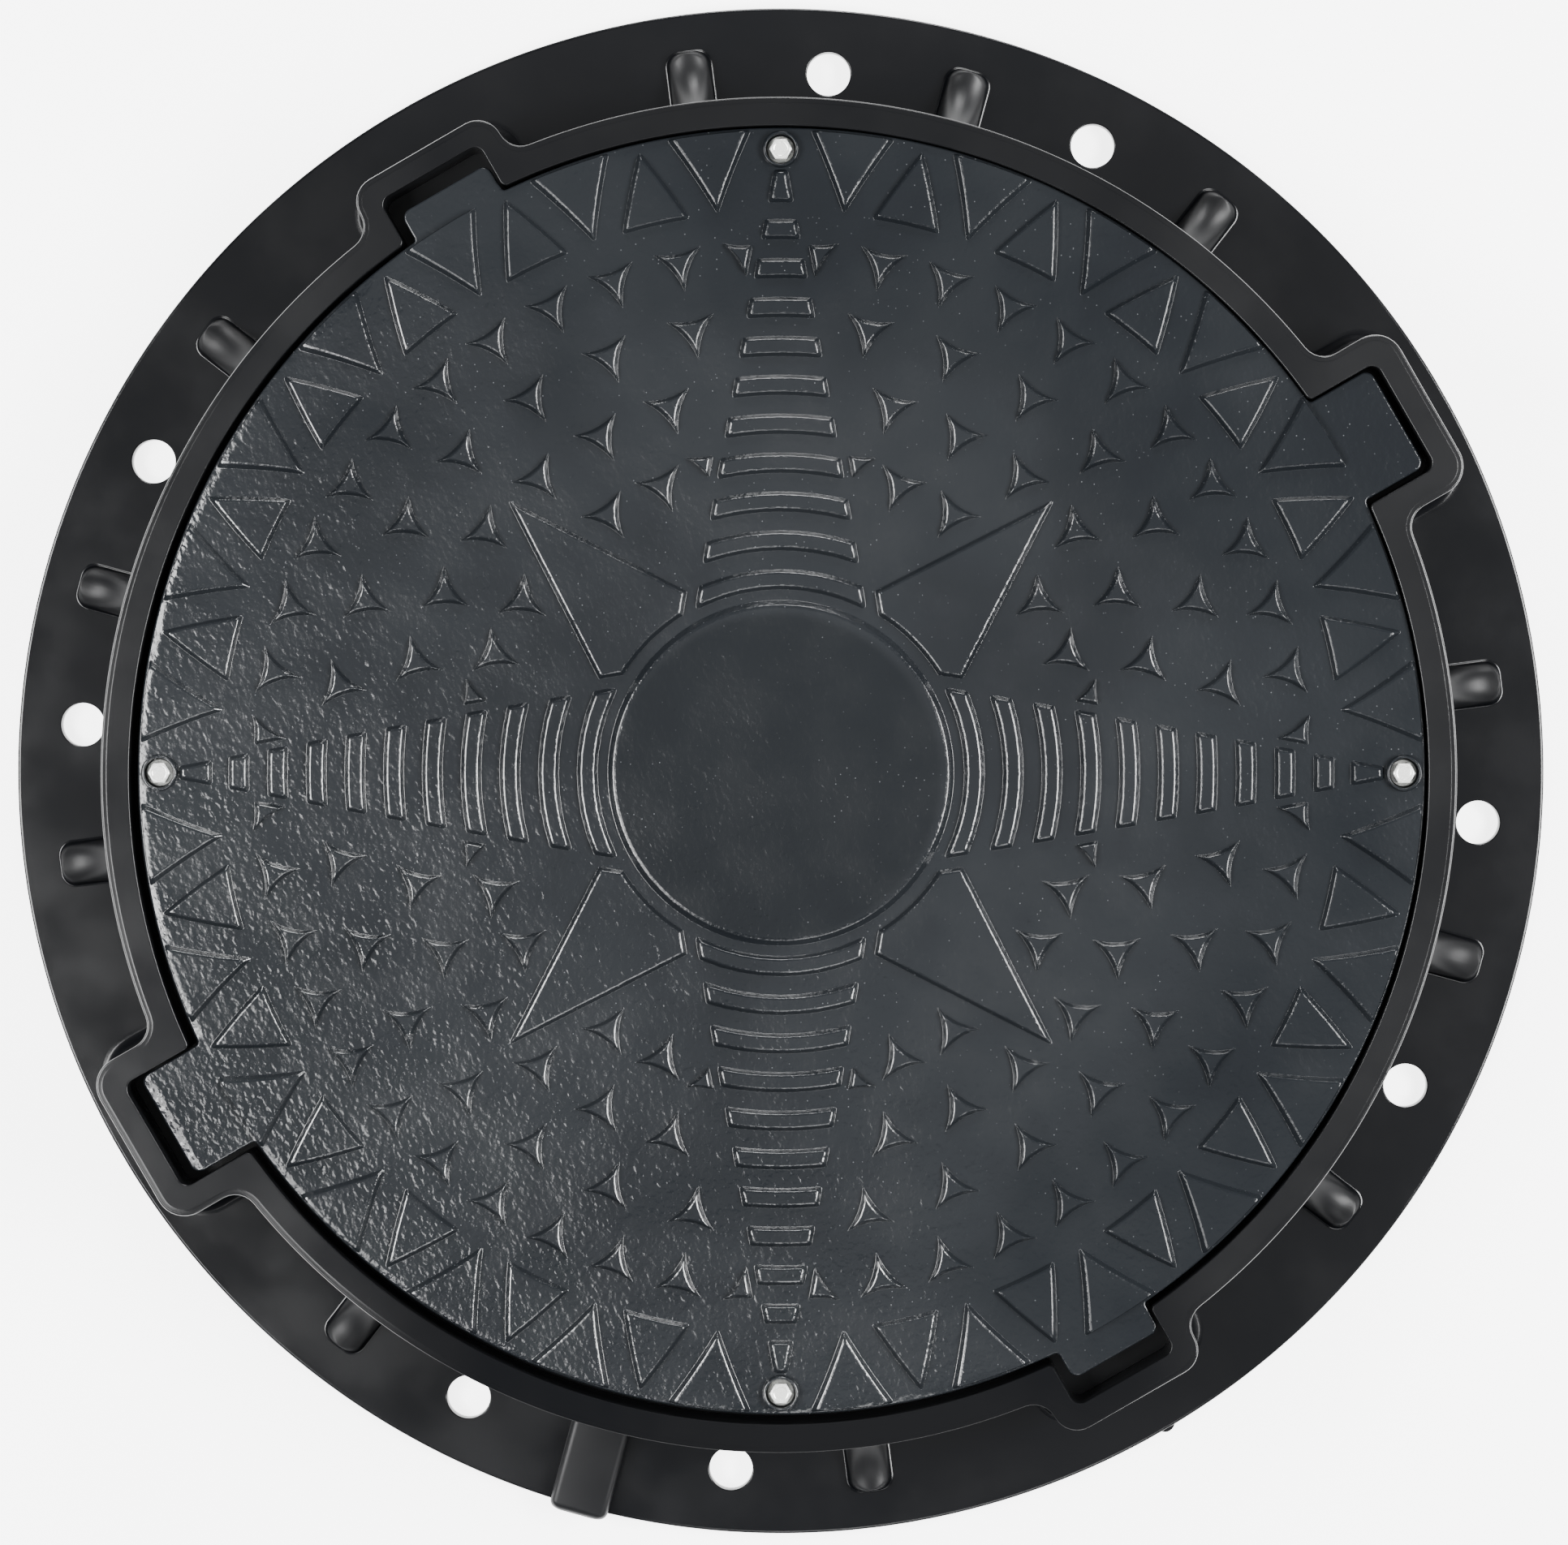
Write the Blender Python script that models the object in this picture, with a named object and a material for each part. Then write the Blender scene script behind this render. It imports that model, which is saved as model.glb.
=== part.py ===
"""Round access cover moulded in plastic, modelled in metres with +Z up.

A ring frame with a bolting flange stands on its bed at z = 0, with the centre of the
flange's underside at the origin. A ribbed lid lies in the frame's recess on a rubber
seal, and four flange screws hold it down in metal inserts. North is +Y, east is +X.
"""
import math

import bmesh
import bpy
from mathutils import Vector

MM = 0.001

# Plan sizes of the frame, from the clear opening outwards
CLEAR_OPENING_RADIUS = 300.0 * MM
LID_LAP = 28.0 * MM
LID_GAP = 2.7 * MM
RIM_WIDTH = 14.6 * MM
FLANGE_WIDTH = 54.7 * MM
ANCHOR_HOLE_RADIUS = 11.35 * MM
ANCHOR_EDGE_DISTANCE = 33.5 * MM
ANCHOR_ANGLES = (63.5, 86.0)
SKIRT_WALL = 7.0 * MM

# Heights and edges of the frame
FRAME_HEIGHT = 85.0 * MM
FLANGE_THICKNESS = 8.0 * MM
FLANGE_EDGE_CHAMFER = 2.0 * MM
FOOT_FILLET = 8.0 * MM
RIM_EDGE_ROUND = 3.0 * MM
RECESS_EDGE_CHAMFER = 1.0 * MM
SEAT_DEPTH = 31.0 * MM
SEAT_THICKNESS = 8.0 * MM
STIFFENER_THICKNESS = 5.0 * MM
STIFFENER_LIFT = 2.0 * MM
STIFFENERS = 12

# Lid; the screws hold it a little off the middle of the recess
LID_SHIFT_EAST = 1.43 * MM
LID_SHIFT_NORTH = 1.93 * MM
LID_EDGE_CHAMFER = 1.0 * MM
LID_PLATE = 8.0 * MM
LID_RIB_DEPTH = 14.0 * MM
LID_EAR_THICKNESS = 10.0 * MM
LID_BODY_STEP = 1.0 * MM
LID_BODY_DRAFT = 1.0 * MM

# Lifting ears (30 and 210 degrees) and prying tabs (120 and 300 degrees)
FIRST_LUG_ANGLE = 30.0
EAR_HALF_WIDTH = 28.5 * MM
EAR_PROJECTION = 33.6 * MM
EAR_SIDE_GAP = 2.1 * MM
EAR_END_GAP = 6.4 * MM
EAR_POCKET_WALL = 14.3 * MM
TAB_HALF_WIDTH = 25.4 * MM
TAB_PROJECTION = 15.0 * MM
TAB_SIDE_GAP = 3.6 * MM
PRY_SLOT = 11.7 * MM
TAB_POCKET_WALL = 12.2 * MM
LUG_CORNER = 5.0 * MM
LUG_FLARE = 3.0 * MM
BULGE_CORNER = 15.0 * MM
BULGE_FLARE = 12.0 * MM

# Gusset ribs outside the neck
GUSSET_FIRST_ANGLE = 7.3
GUSSET_ANGLES = (0.0, 45.0, 67.5)
GUSSET_SETBACK = 20.5 * MM
GUSSET_WIDTH = 22.0 * MM
GUSSET_TOE_HEIGHT = 9.0 * MM
GUSSET_TOP_GAP = 43.0 * MM
GUSSET_TOE_CORNER = 5.0 * MM
GUSSET_SWEEP_POWER = 1.5

# Filling gate across the flange, and the mark of the ejector at its edge
GATE_ANGLE = 254.7
GATE_WIDTH = 31.0 * MM
GATE_HEIGHT = 9.0 * MM
GATE_OVERHANG = 3.5 * MM
GATE_ROUND = 4.0 * MM
NUB_ANGLE = 300.7
NUB_RADIUS = 5.0 * MM
NUB_OVERHANG = 2.0 * MM

# Raised tread; a share is a share of the lid's radius
TREAD_HEIGHT = 3.0 * MM
TREAD_DRAFT = 1.0 * MM
TREAD_MARGIN = 2.0 * MM
TOOTH_PAIRS = 7
TOOTH_APEX_SHARE = 0.8698
TOOTH_BASE_HALF_ANGLE = 3.8
COUNTER_TOOTH_APEX_GAP = 3.2 * MM
COUNTER_TOOTH_HALF_ANGLE = 3.57
WEDGE_APEX_SHARE = 0.9817
WEDGE_HALF_SLOPE = 0.1883
BAR_COUNT = 10
BAR_OUTER_SHARE = 0.8543
BAR_THICKNESS = 8.1 * MM
BAR_HUB_GAP = 6.0 * MM
BAR_TIP_SHARE = 0.8896
BAR_TIP_GAP = 1.0 * MM
STAR_TIP_SHARE = 0.0415
STAR_WAIST_SHARE = 0.0143
STAR_WEDGE_GAP = 4.5 * MM
HUB_SHARE = 0.2695
KITE_TIP_SHARE = 0.596
KITE_SHOULDER_SHARE = 0.3189
KITE_SHOULDER_ANGLE = 17.4
KITE_HEEL_GAP = 6.5 * MM
KITE_HEEL_ANGLE = 13.0

# Rows of stars in a quadrant: share of the radius, and the directions
STAR_ROWS = (
    (0.804, [3.75 + 7.5 * i for i in range(12)]),
    (0.6982, [11.25 + 11.25 * i for i in range(7)]),
    (0.5918, [16.875 + 11.25 * i for i in range(6)]),
    (0.4814, [22.5, 33.75, 56.25, 67.5]),
)

# Underside cells of the lid: middles of the ring ribs as shares, and cells in each ring
CELL_RING_SHARES = (0.1281, 0.4512, 0.683, 0.9117)
CELL_COUNTS = (8, 16, 16)
CELL_RIB = 6.0 * MM
CELL_DRAFT = 0.8 * MM

# Screws, inserts and seal
SCREW_EDGE_DISTANCE = 11.0 * MM
SCREW_RADIUS = 3.0 * MM
SCREW_LENGTH = 40.0 * MM
SCREW_TIP_CHAMFER = 0.8 * MM
SCREW_FLANGE_RADIUS = 6.85 * MM
SCREW_FLANGE_THICKNESS = 1.1 * MM
SCREW_FLANGE_SLOPE = 20.0
SCREW_HEX_ACROSS_FLATS = 10.0 * MM
SCREW_HEAD_HEIGHT = 6.0 * MM
SCREW_HEAD_CHAMFER = 0.7 * MM
SCREW_HOLE_GAP = 0.5 * MM
COUNTERBORE_GAP = 0.75 * MM
COUNTERBORE_DEPTH = 4.0 * MM
LIP_WIDTH = 1.9 * MM
INSERT_RADIUS = 4.5 * MM
INSERT_LENGTH = 12.0 * MM
BOSS_RADIUS = 11.0 * MM
BOSS_BELOW_INSERT = 4.0 * MM
SEAL_SETBACK = 3.0 * MM
SEAL_WIDTH = 8.0 * MM
REST_GAP = 0.3 * MM

# Fineness of round stretches
ARC_STEPS = 14
FLARE_STEPS = 2
CORNER_STEPS = 3
ARCH_STEPS = 5
SWEEP_STEPS = 3
HOLE_SIDES = 16
SCREW_SIDES = 12
SEAL_SIDES = 60
HUB_SIDES = 48
CHORD_ANGLE = 4.8
ROUND_MIDDLE = 1.0 - math.sqrt(0.5)
SUNK = 3.0 * MM

# Values worked out from the ones above
LID_RADIUS = CLEAR_OPENING_RADIUS + LID_LAP
RECESS_RADIUS = LID_RADIUS + LID_GAP
NECK_RADIUS = RECESS_RADIUS + RIM_WIDTH
FLANGE_RADIUS = NECK_RADIUS + FLANGE_WIDTH
ANCHOR_CIRCLE_RADIUS = FLANGE_RADIUS - ANCHOR_EDGE_DISTANCE
GUSSET_REACH = FLANGE_RADIUS - GUSSET_SETBACK
EAR_REACH = LID_RADIUS + EAR_PROJECTION
TAB_REACH = LID_RADIUS + TAB_PROJECTION
SCREW_CIRCLE_RADIUS = LID_RADIUS - SCREW_EDGE_DISTANCE
COUNTERBORE_RADIUS = SCREW_FLANGE_RADIUS + COUNTERBORE_GAP
TREAD_RADIUS = LID_RADIUS - TREAD_MARGIN
TOOTH_APEX_RADIUS = LID_RADIUS * TOOTH_APEX_SHARE
WEDGE_APEX_RADIUS = LID_RADIUS * WEDGE_APEX_SHARE
HUB_RADIUS = LID_RADIUS * HUB_SHARE
BAR_OUTER_RADIUS = LID_RADIUS * BAR_OUTER_SHARE
BAR_PITCH = (BAR_OUTER_RADIUS - BAR_THICKNESS - HUB_RADIUS - BAR_HUB_GAP) / (BAR_COUNT - 1)
SEAT_LEVEL = FRAME_HEIGHT - SEAT_DEPTH
LEDGE_UNDERSIDE = SEAT_LEVEL - SEAT_THICKNESS
BOSS_BOTTOM = SEAT_LEVEL - INSERT_LENGTH - BOSS_BELOW_INSERT
PLATE_LEVEL = FRAME_HEIGHT - TREAD_HEIGHT
LID_CEILING = PLATE_LEVEL - LID_PLATE
LID_BOTTOM = LID_CEILING - LID_RIB_DEPTH
SCREW_SEAT_LEVEL = PLATE_LEVEL - COUNTERBORE_DEPTH
LID_CENTRE = Vector((LID_SHIFT_EAST, LID_SHIFT_NORTH))
QUADRANTS = (0, 90, 180, 270)
COMPASS = {"north": 90.0, "east": 0.0, "south": 270.0, "west": 180.0}


def polar(radius, degrees):
    """Point at a radius and a direction counted from east."""
    angle = math.radians(degrees)
    return Vector((radius * math.cos(angle), radius * math.sin(angle)))


def arc_points(centre, radius, start, end, steps):
    """Points along an arc from the start to the end direction, both ends included."""
    return [centre + polar(radius, start + (end - start) * i / steps) for i in range(steps + 1)]


def turned(points, degrees):
    """Copy of an outline turned about the origin."""
    angle = math.radians(degrees)
    cosine, sine = math.cos(angle), math.sin(angle)
    return [Vector((p.x * cosine - p.y * sine, p.x * sine + p.y * cosine)) for p in points]


def lug_outline(radius, half_width, reach, corner, flare, offset):
    """Lug on a circle, centred on +X: flat end, round corners, flared root; all offset outwards."""
    rim = radius + offset
    side = half_width + offset
    end = reach + offset
    bend = corner + offset
    root = flare - offset
    root_y = side + root
    root_x = math.sqrt((rim + root) ** 2 - root_y ** 2)
    meeting = math.degrees(math.atan2(root_y, root_x))
    upper = arc_points(Vector((end - bend, side - bend)), bend, 0.0, 90.0, CORNER_STEPS)
    upper += arc_points(Vector((root_x, root_y)), root, 270.0, 180.0 + meeting, FLARE_STEPS)
    lower = [Vector((p.x, -p.y)) for p in reversed(upper)]
    return lower + upper, meeting


def lobed_outline(radius, ear, tab, corner, flare, offset=0.0):
    """Circle with two ears and two tabs in turn, each given as (half width, reach)."""
    lugs = [lug_outline(radius, *size, corner, flare, offset) for size in (ear, tab, ear, tab)]
    outline = []
    for index, (points, meeting) in enumerate(lugs):
        direction = FIRST_LUG_ANGLE + 90.0 * index
        next_meeting = lugs[(index + 1) % len(lugs)][1]
        outline += turned(points, direction)
        between = arc_points(Vector((0.0, 0.0)), radius + offset, direction + meeting,
                             direction + 90.0 - next_meeting, ARC_STEPS)
        outline += between[1:-1]
    return outline


def neck_outline(offset=0.0):
    """Outside of the neck and of the bulges round the pockets."""
    ear = (EAR_HALF_WIDTH + EAR_SIDE_GAP + EAR_POCKET_WALL, EAR_REACH + EAR_END_GAP + EAR_POCKET_WALL)
    tab = (TAB_HALF_WIDTH + TAB_SIDE_GAP + TAB_POCKET_WALL, TAB_REACH + PRY_SLOT + TAB_POCKET_WALL)
    return lobed_outline(NECK_RADIUS, ear, tab, BULGE_CORNER, BULGE_FLARE, offset)


def recess_outline(offset=0.0):
    """Inside of the neck and of the pockets."""
    ear = (EAR_HALF_WIDTH + EAR_SIDE_GAP, EAR_REACH + EAR_END_GAP)
    tab = (TAB_HALF_WIDTH + TAB_SIDE_GAP, TAB_REACH + PRY_SLOT)
    return lobed_outline(RECESS_RADIUS, ear, tab, LUG_CORNER, LUG_FLARE, offset)


def lid_outline(offset=0.0):
    """Edge of the lid with its ears and tabs."""
    ear = (EAR_HALF_WIDTH, EAR_REACH)
    tab = (TAB_HALF_WIDTH, TAB_REACH)
    return lobed_outline(LID_RADIUS, ear, tab, LUG_CORNER, LUG_FLARE, offset)


def round_outline(radius, guide):
    """Circle with its points in the same directions as those of a guide outline."""
    return [p.normalized() * radius for p in guide]


def inset_outline(points, distance):
    """Outline moved inwards by a distance, for a draft or a chamfer."""
    moved = []
    for index, point in enumerate(points):
        before = (point - points[index - 1]).normalized()
        after = (points[(index + 1) % len(points)] - point).normalized()
        normal_before = Vector((-before.y, before.x))
        normal_after = Vector((-after.y, after.x))
        bisector = normal_before + normal_after
        moved.append(point + bisector * (2.0 * distance / bisector.length_squared))
    return moved


def screw_centre(degrees):
    """Axis of one screw, on a circle about the lid's centre."""
    return LID_CENTRE + polar(SCREW_CIRCLE_RADIUS, degrees)


def add_loop(bm, outline, level):
    """Ring of vertices along an outline at one height."""
    return [bm.verts.new((p.x, p.y, level)) for p in outline]


def bridge(bm, lower, upper):
    """Band of quads between two rings of equal count."""
    count = len(lower)
    for i in range(count):
        j = (i + 1) % count
        bm.faces.new((lower[i], lower[j], upper[j], upper[i]))


def loft(bm, sections, closed=False):
    """Skin through (outline, level) sections; returns the rings of vertices."""
    rings = [add_loop(bm, outline, level) for outline, level in sections]
    for lower, upper in zip(rings, rings[1:]):
        bridge(bm, lower, upper)
    if closed:
        bridge(bm, rings[-1], rings[0])
    return rings


def fill_between(bm, rings):
    """Flat face bounded by an outer ring and the rings of its holes."""
    edges = [bm.edges.get((ring[i - 1], ring[i])) for ring in rings for i in range(len(ring))]
    bmesh.ops.triangle_fill(bm, use_beauty=True, use_dissolve=False, edges=edges)


def solid(bm, sections):
    """Closed body lofted through its sections, with flat ends."""
    rings = loft(bm, sections)
    bm.faces.new(rings[0])
    bm.faces.new(rings[-1])


def make_object(name, bm, material, smooth_degrees=30.0):
    """Object from a mesh, shaded smooth below an edge angle."""
    bmesh.ops.recalc_face_normals(bm, faces=bm.faces)
    mesh = bpy.data.meshes.new(name)
    bm.to_mesh(mesh)
    bm.free()
    mesh.shade_smooth()
    mesh.set_sharp_from_angle(angle=math.radians(smooth_degrees))
    made = bpy.data.objects.new(name, mesh)
    bpy.context.scene.collection.objects.link(made)
    if material:
        mesh.materials.append(material)
    return made


def make_material(name, colour, roughness, metallic):
    """Principled material of one finish."""
    material = bpy.data.materials.new(name)
    material.use_nodes = True
    shader = material.node_tree.nodes["Principled BSDF"]
    shader.inputs["Base Color"].default_value = (*colour, 1.0)
    shader.inputs["Roughness"].default_value = roughness
    shader.inputs["Metallic"].default_value = metallic
    return material


def combine(target, tool, operation):
    """Boolean of a hidden tool body on a target, left as a modifier."""
    tool.hide_render = True
    tool.display_type = 'WIRE'
    modifier = target.modifiers.new(tool.name, 'BOOLEAN')
    modifier.operation = operation
    modifier.solver = 'EXACT'
    modifier.object = tool


def frame_shell():
    """Flange, neck, seat ledge and inner skirt as one ring-shaped skin."""
    neck = neck_outline()
    recess = recess_outline()
    fillet_middle = FOOT_FILLET * ROUND_MIDDLE
    sections = [
        (round_outline(FLANGE_RADIUS, neck), 0.0),
        (round_outline(FLANGE_RADIUS, neck), FLANGE_THICKNESS - FLANGE_EDGE_CHAMFER),
        (round_outline(FLANGE_RADIUS - FLANGE_EDGE_CHAMFER, neck), FLANGE_THICKNESS),
        (neck_outline(FOOT_FILLET), FLANGE_THICKNESS),
        (neck_outline(fillet_middle), FLANGE_THICKNESS + fillet_middle),
        (neck, FLANGE_THICKNESS + FOOT_FILLET),
        (neck, FRAME_HEIGHT - RIM_EDGE_ROUND),
        (neck_outline(-RIM_EDGE_ROUND * ROUND_MIDDLE), FRAME_HEIGHT - RIM_EDGE_ROUND * ROUND_MIDDLE),
        (neck_outline(-RIM_EDGE_ROUND), FRAME_HEIGHT),
        (recess_outline(RECESS_EDGE_CHAMFER), FRAME_HEIGHT),
        (recess, FRAME_HEIGHT - RECESS_EDGE_CHAMFER),
        (recess, SEAT_LEVEL),
        (round_outline(CLEAR_OPENING_RADIUS, recess), SEAT_LEVEL),
        (round_outline(CLEAR_OPENING_RADIUS, recess), 0.0),
        (round_outline(CLEAR_OPENING_RADIUS + SKIRT_WALL, recess), 0.0),
        (round_outline(CLEAR_OPENING_RADIUS + SKIRT_WALL, recess), LEDGE_UNDERSIDE),
        (recess, LEDGE_UNDERSIDE),
        (recess, 0.0),
    ]
    bm = bmesh.new()
    loft(bm, sections, closed=True)
    return bm


def gusset_stations():
    """Radius, half width and crest height of the rib's sections, from the neck wall to the toe."""
    half = GUSSET_WIDTH / 2.0
    crest_top = FRAME_HEIGHT - GUSSET_TOP_GAP - FLANGE_THICKNESS
    sweep_end = GUSSET_REACH - GUSSET_TOE_CORNER
    stations = [(NECK_RADIUS - RIM_WIDTH / 2.0, half, crest_top)]
    for step in range(SWEEP_STEPS + 1):
        share = step / SWEEP_STEPS
        crest = GUSSET_TOE_HEIGHT + (crest_top - GUSSET_TOE_HEIGHT) * (1.0 - share) ** GUSSET_SWEEP_POWER
        stations.append((NECK_RADIUS + (sweep_end - NECK_RADIUS) * share, half, crest))
    for degrees in (40.0, 80.0):
        sine, cosine = math.sin(math.radians(degrees)), math.cos(math.radians(degrees))
        stations.append((sweep_end + GUSSET_TOE_CORNER * sine, half - GUSSET_TOE_CORNER * (1.0 - cosine),
                         GUSSET_TOE_HEIGHT * cosine))
    return stations


def add_gusset(bm, degrees):
    """Rib whose section is a half ellipse standing in the flange, swept along a radius."""
    rings = []
    for radius, half, crest in gusset_stations():
        section = [(half, FLANGE_THICKNESS - SUNK)]
        for step in range(ARCH_STEPS + 1):
            angle = math.pi * step / ARCH_STEPS
            section.append((half * math.cos(angle), FLANGE_THICKNESS + crest * math.sin(angle)))
        section.append((-half, FLANGE_THICKNESS - SUNK))
        places = turned([Vector((radius, across)) for across, _ in section], degrees)
        rings.append([bm.verts.new((p.x, p.y, level)) for p, (_, level) in zip(places, section)])
    for inner, outer in zip(rings, rings[1:]):
        bridge(bm, inner, outer)
    bm.faces.new(rings[0])
    bm.faces.new(rings[-1])


def add_prism(bm, outline, degrees, bottom, top):
    """Upright prism on an outline that is turned about the origin."""
    place = turned(outline, degrees)
    solid(bm, [(place, bottom), (place, top)])


def box_outline(inner, outer, width):
    """Rectangle along +X from an inner to an outer radius."""
    half = width / 2.0
    return [Vector((inner, -half)), Vector((outer, -half)), Vector((outer, half)), Vector((inner, half))]


def add_gate(bm):
    """Round-edged bar across the flange that stands a little past its edge."""
    reach = FLANGE_RADIUS + GATE_OVERHANG
    outline = box_outline(NECK_RADIUS - RIM_WIDTH / 2.0, reach, GATE_WIDTH)
    top = FLANGE_THICKNESS + GATE_HEIGHT
    base = turned(outline, GATE_ANGLE)
    solid(bm, [(base, FLANGE_EDGE_CHAMFER), (base, top - GATE_ROUND),
               (inset_outline(base, GATE_ROUND * ROUND_MIDDLE), top - GATE_ROUND * ROUND_MIDDLE),
               (inset_outline(base, GATE_ROUND), top)])


def frame_additions():
    """Ribs, gate, edge mark, insert bosses and hidden stiffeners that join the frame's shell."""
    bm = bmesh.new()
    for quadrant in QUADRANTS:
        for angle in GUSSET_ANGLES:
            direction = GUSSET_FIRST_ANGLE + angle + quadrant
            if abs(direction - GATE_ANGLE) > 1.0:
                add_gusset(bm, direction)
    add_gate(bm)
    nub = arc_points(Vector((FLANGE_RADIUS + NUB_OVERHANG - NUB_RADIUS, 0.0)), NUB_RADIUS, -90.0, 90.0, 6)
    nub += [Vector((nub[0].x - SUNK, NUB_RADIUS)), Vector((nub[0].x - SUNK, -NUB_RADIUS))]
    add_prism(bm, nub, NUB_ANGLE, FLANGE_EDGE_CHAMFER, FLANGE_THICKNESS - FLANGE_EDGE_CHAMFER)
    for quadrant in QUADRANTS:
        boss = arc_points(screw_centre(quadrant), BOSS_RADIUS, 0.0, 360.0, HOLE_SIDES)[:-1]
        add_prism(bm, boss, 0.0, BOSS_BOTTOM, LEDGE_UNDERSIDE + SUNK)
    skirt = CLEAR_OPENING_RADIUS + SKIRT_WALL - SUNK
    stiffener = box_outline(skirt, RECESS_RADIUS + SUNK, STIFFENER_THICKNESS)
    pitch = 360.0 / STIFFENERS
    for index in range(STIFFENERS):
        add_prism(bm, stiffener, pitch * (index + 0.5), STIFFENER_LIFT, LEDGE_UNDERSIDE + SUNK)
    return bm


def frame_holes():
    """Anchor holes through the flange and insert holes through the seat."""
    bm = bmesh.new()
    anchor = arc_points(Vector((ANCHOR_CIRCLE_RADIUS, 0.0)), ANCHOR_HOLE_RADIUS, 0.0, 360.0, HOLE_SIDES)[:-1]
    for quadrant in QUADRANTS:
        for angle in ANCHOR_ANGLES:
            add_prism(bm, anchor, quadrant + angle, -SUNK, FLANGE_THICKNESS + SUNK)
        insert = arc_points(screw_centre(quadrant), INSERT_RADIUS + REST_GAP, 0.0, 360.0, SCREW_SIDES)[:-1]
        add_prism(bm, insert, 0.0, BOSS_BOTTOM - SUNK, SEAT_LEVEL + SUNK)
    return bm


def make_frame(material):
    """Frame moulding: shell joined to its ribs, then drilled."""
    frame = make_object("frame", frame_shell(), material)
    combine(frame, make_object("frame_additions_guide", frame_additions(), None), 'UNION')
    combine(frame, make_object("frame_holes_guide", frame_holes(), None), 'DIFFERENCE')
    return frame


def sector(inner, outer, half_inner, half_outer):
    """Ring sector on +X, with its half widths given as angles in degrees."""
    centre = Vector((0.0, 0.0))
    steps = max(1, round(half_outer / CHORD_ANGLE))
    far = arc_points(centre, outer, -half_outer, half_outer, steps)
    near = arc_points(centre, inner, half_inner, -half_inner, steps)
    return far + near


def tooth_outlines():
    """Rim teeth: triangles on the lid's edge and counter triangles between them."""
    centre = Vector((0.0, 0.0))
    pitch = 90.0 / TOOTH_PAIRS
    tooth = arc_points(centre, TREAD_RADIUS, -TOOTH_BASE_HALF_ANGLE, TOOTH_BASE_HALF_ANGLE, 2)
    tooth.append(Vector((TOOTH_APEX_RADIUS, 0.0)))
    counter = arc_points(centre, TOOTH_APEX_RADIUS, COUNTER_TOOTH_HALF_ANGLE, -COUNTER_TOOTH_HALF_ANGLE, 2)
    counter.append(Vector((LID_RADIUS - COUNTER_TOOTH_APEX_GAP, 0.0)))
    for index in range(4 * TOOTH_PAIRS):
        yield turned(tooth, pitch * (index + 0.5))
        if index % TOOTH_PAIRS:
            yield turned(counter, pitch * index)


def wedge_half_angle(radius):
    """Half angle of a ladder arm at a radius; its sides meet near the screw."""
    return math.degrees(math.asin((WEDGE_APEX_RADIUS - radius) * WEDGE_HALF_SLOPE / radius))


def bar_outlines():
    """Ladder arms: arc bars that widen from each screw towards the hub."""
    spans = [(BAR_OUTER_RADIUS - BAR_PITCH * i - BAR_THICKNESS, BAR_OUTER_RADIUS - BAR_PITCH * i)
             for i in range(BAR_COUNT)]
    tip_outer = SCREW_CIRCLE_RADIUS - COUNTERBORE_RADIUS - LIP_WIDTH - BAR_TIP_GAP
    spans.append((LID_RADIUS * BAR_TIP_SHARE, tip_outer))
    for inner, outer in spans:
        bar = sector(inner, outer, wedge_half_angle(inner), wedge_half_angle(outer))
        for quadrant in QUADRANTS:
            yield turned(bar, quadrant)


def clip_outline(points, origin, normal):
    """Part of an outline on the side of a line that its normal points to."""
    kept = []
    for index, point in enumerate(points):
        previous = points[index - 1]
        depth, depth_before = (point - origin).dot(normal), (previous - origin).dot(normal)
        if depth * depth_before < 0.0:
            kept.append(previous.lerp(point, depth_before / (depth_before - depth)))
        if depth >= 0.0:
            kept.append(point)
    return kept


def star_outline(radius, degrees):
    """Three-pointed star with one tip towards the centre of the lid."""
    points = []
    for index in range(6):
        share = STAR_TIP_SHARE if index % 2 else STAR_WAIST_SHARE
        points.append(Vector((radius, 0.0)) + polar(LID_RADIUS * share, 60.0 * index))
    return turned(points, degrees)


def star_outlines():
    """Star field of one quadrant after another; stars beside an arm are cut along it."""
    apex = Vector((WEDGE_APEX_RADIUS, 0.0))
    slant = math.degrees(math.atan(WEDGE_HALF_SLOPE))
    lower_normal = polar(1.0, 90.0 - slant)
    upper_normal = turned([Vector((lower_normal.x, -lower_normal.y))], 90.0)[0]
    upper_apex = turned([apex], 90.0)[0]
    for share, angles in STAR_ROWS:
        for angle in angles:
            star = star_outline(LID_RADIUS * share, angle)
            star = clip_outline(star, apex + lower_normal * STAR_WEDGE_GAP, lower_normal)
            star = clip_outline(star, upper_apex + upper_normal * STAR_WEDGE_GAP, upper_normal)
            for quadrant in QUADRANTS:
                yield turned(star, quadrant)


def kite_outlines():
    """Compass points between the arms, hollowed towards the hub."""
    heel = arc_points(Vector((0.0, 0.0)), HUB_RADIUS + KITE_HEEL_GAP, KITE_HEEL_ANGLE, -KITE_HEEL_ANGLE, 4)
    shoulder = LID_RADIUS * KITE_SHOULDER_SHARE
    kite = heel + [polar(shoulder, -KITE_SHOULDER_ANGLE), Vector((LID_RADIUS * KITE_TIP_SHARE, 0.0)),
                   polar(shoulder, KITE_SHOULDER_ANGLE)]
    for quadrant in QUADRANTS:
        yield turned(kite, quadrant + 45.0)


def hub_outline():
    """Plain round field in the middle of the lid."""
    return arc_points(Vector((0.0, 0.0)), HUB_RADIUS, 0.0, 360.0, HUB_SIDES)[:-1]


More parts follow.
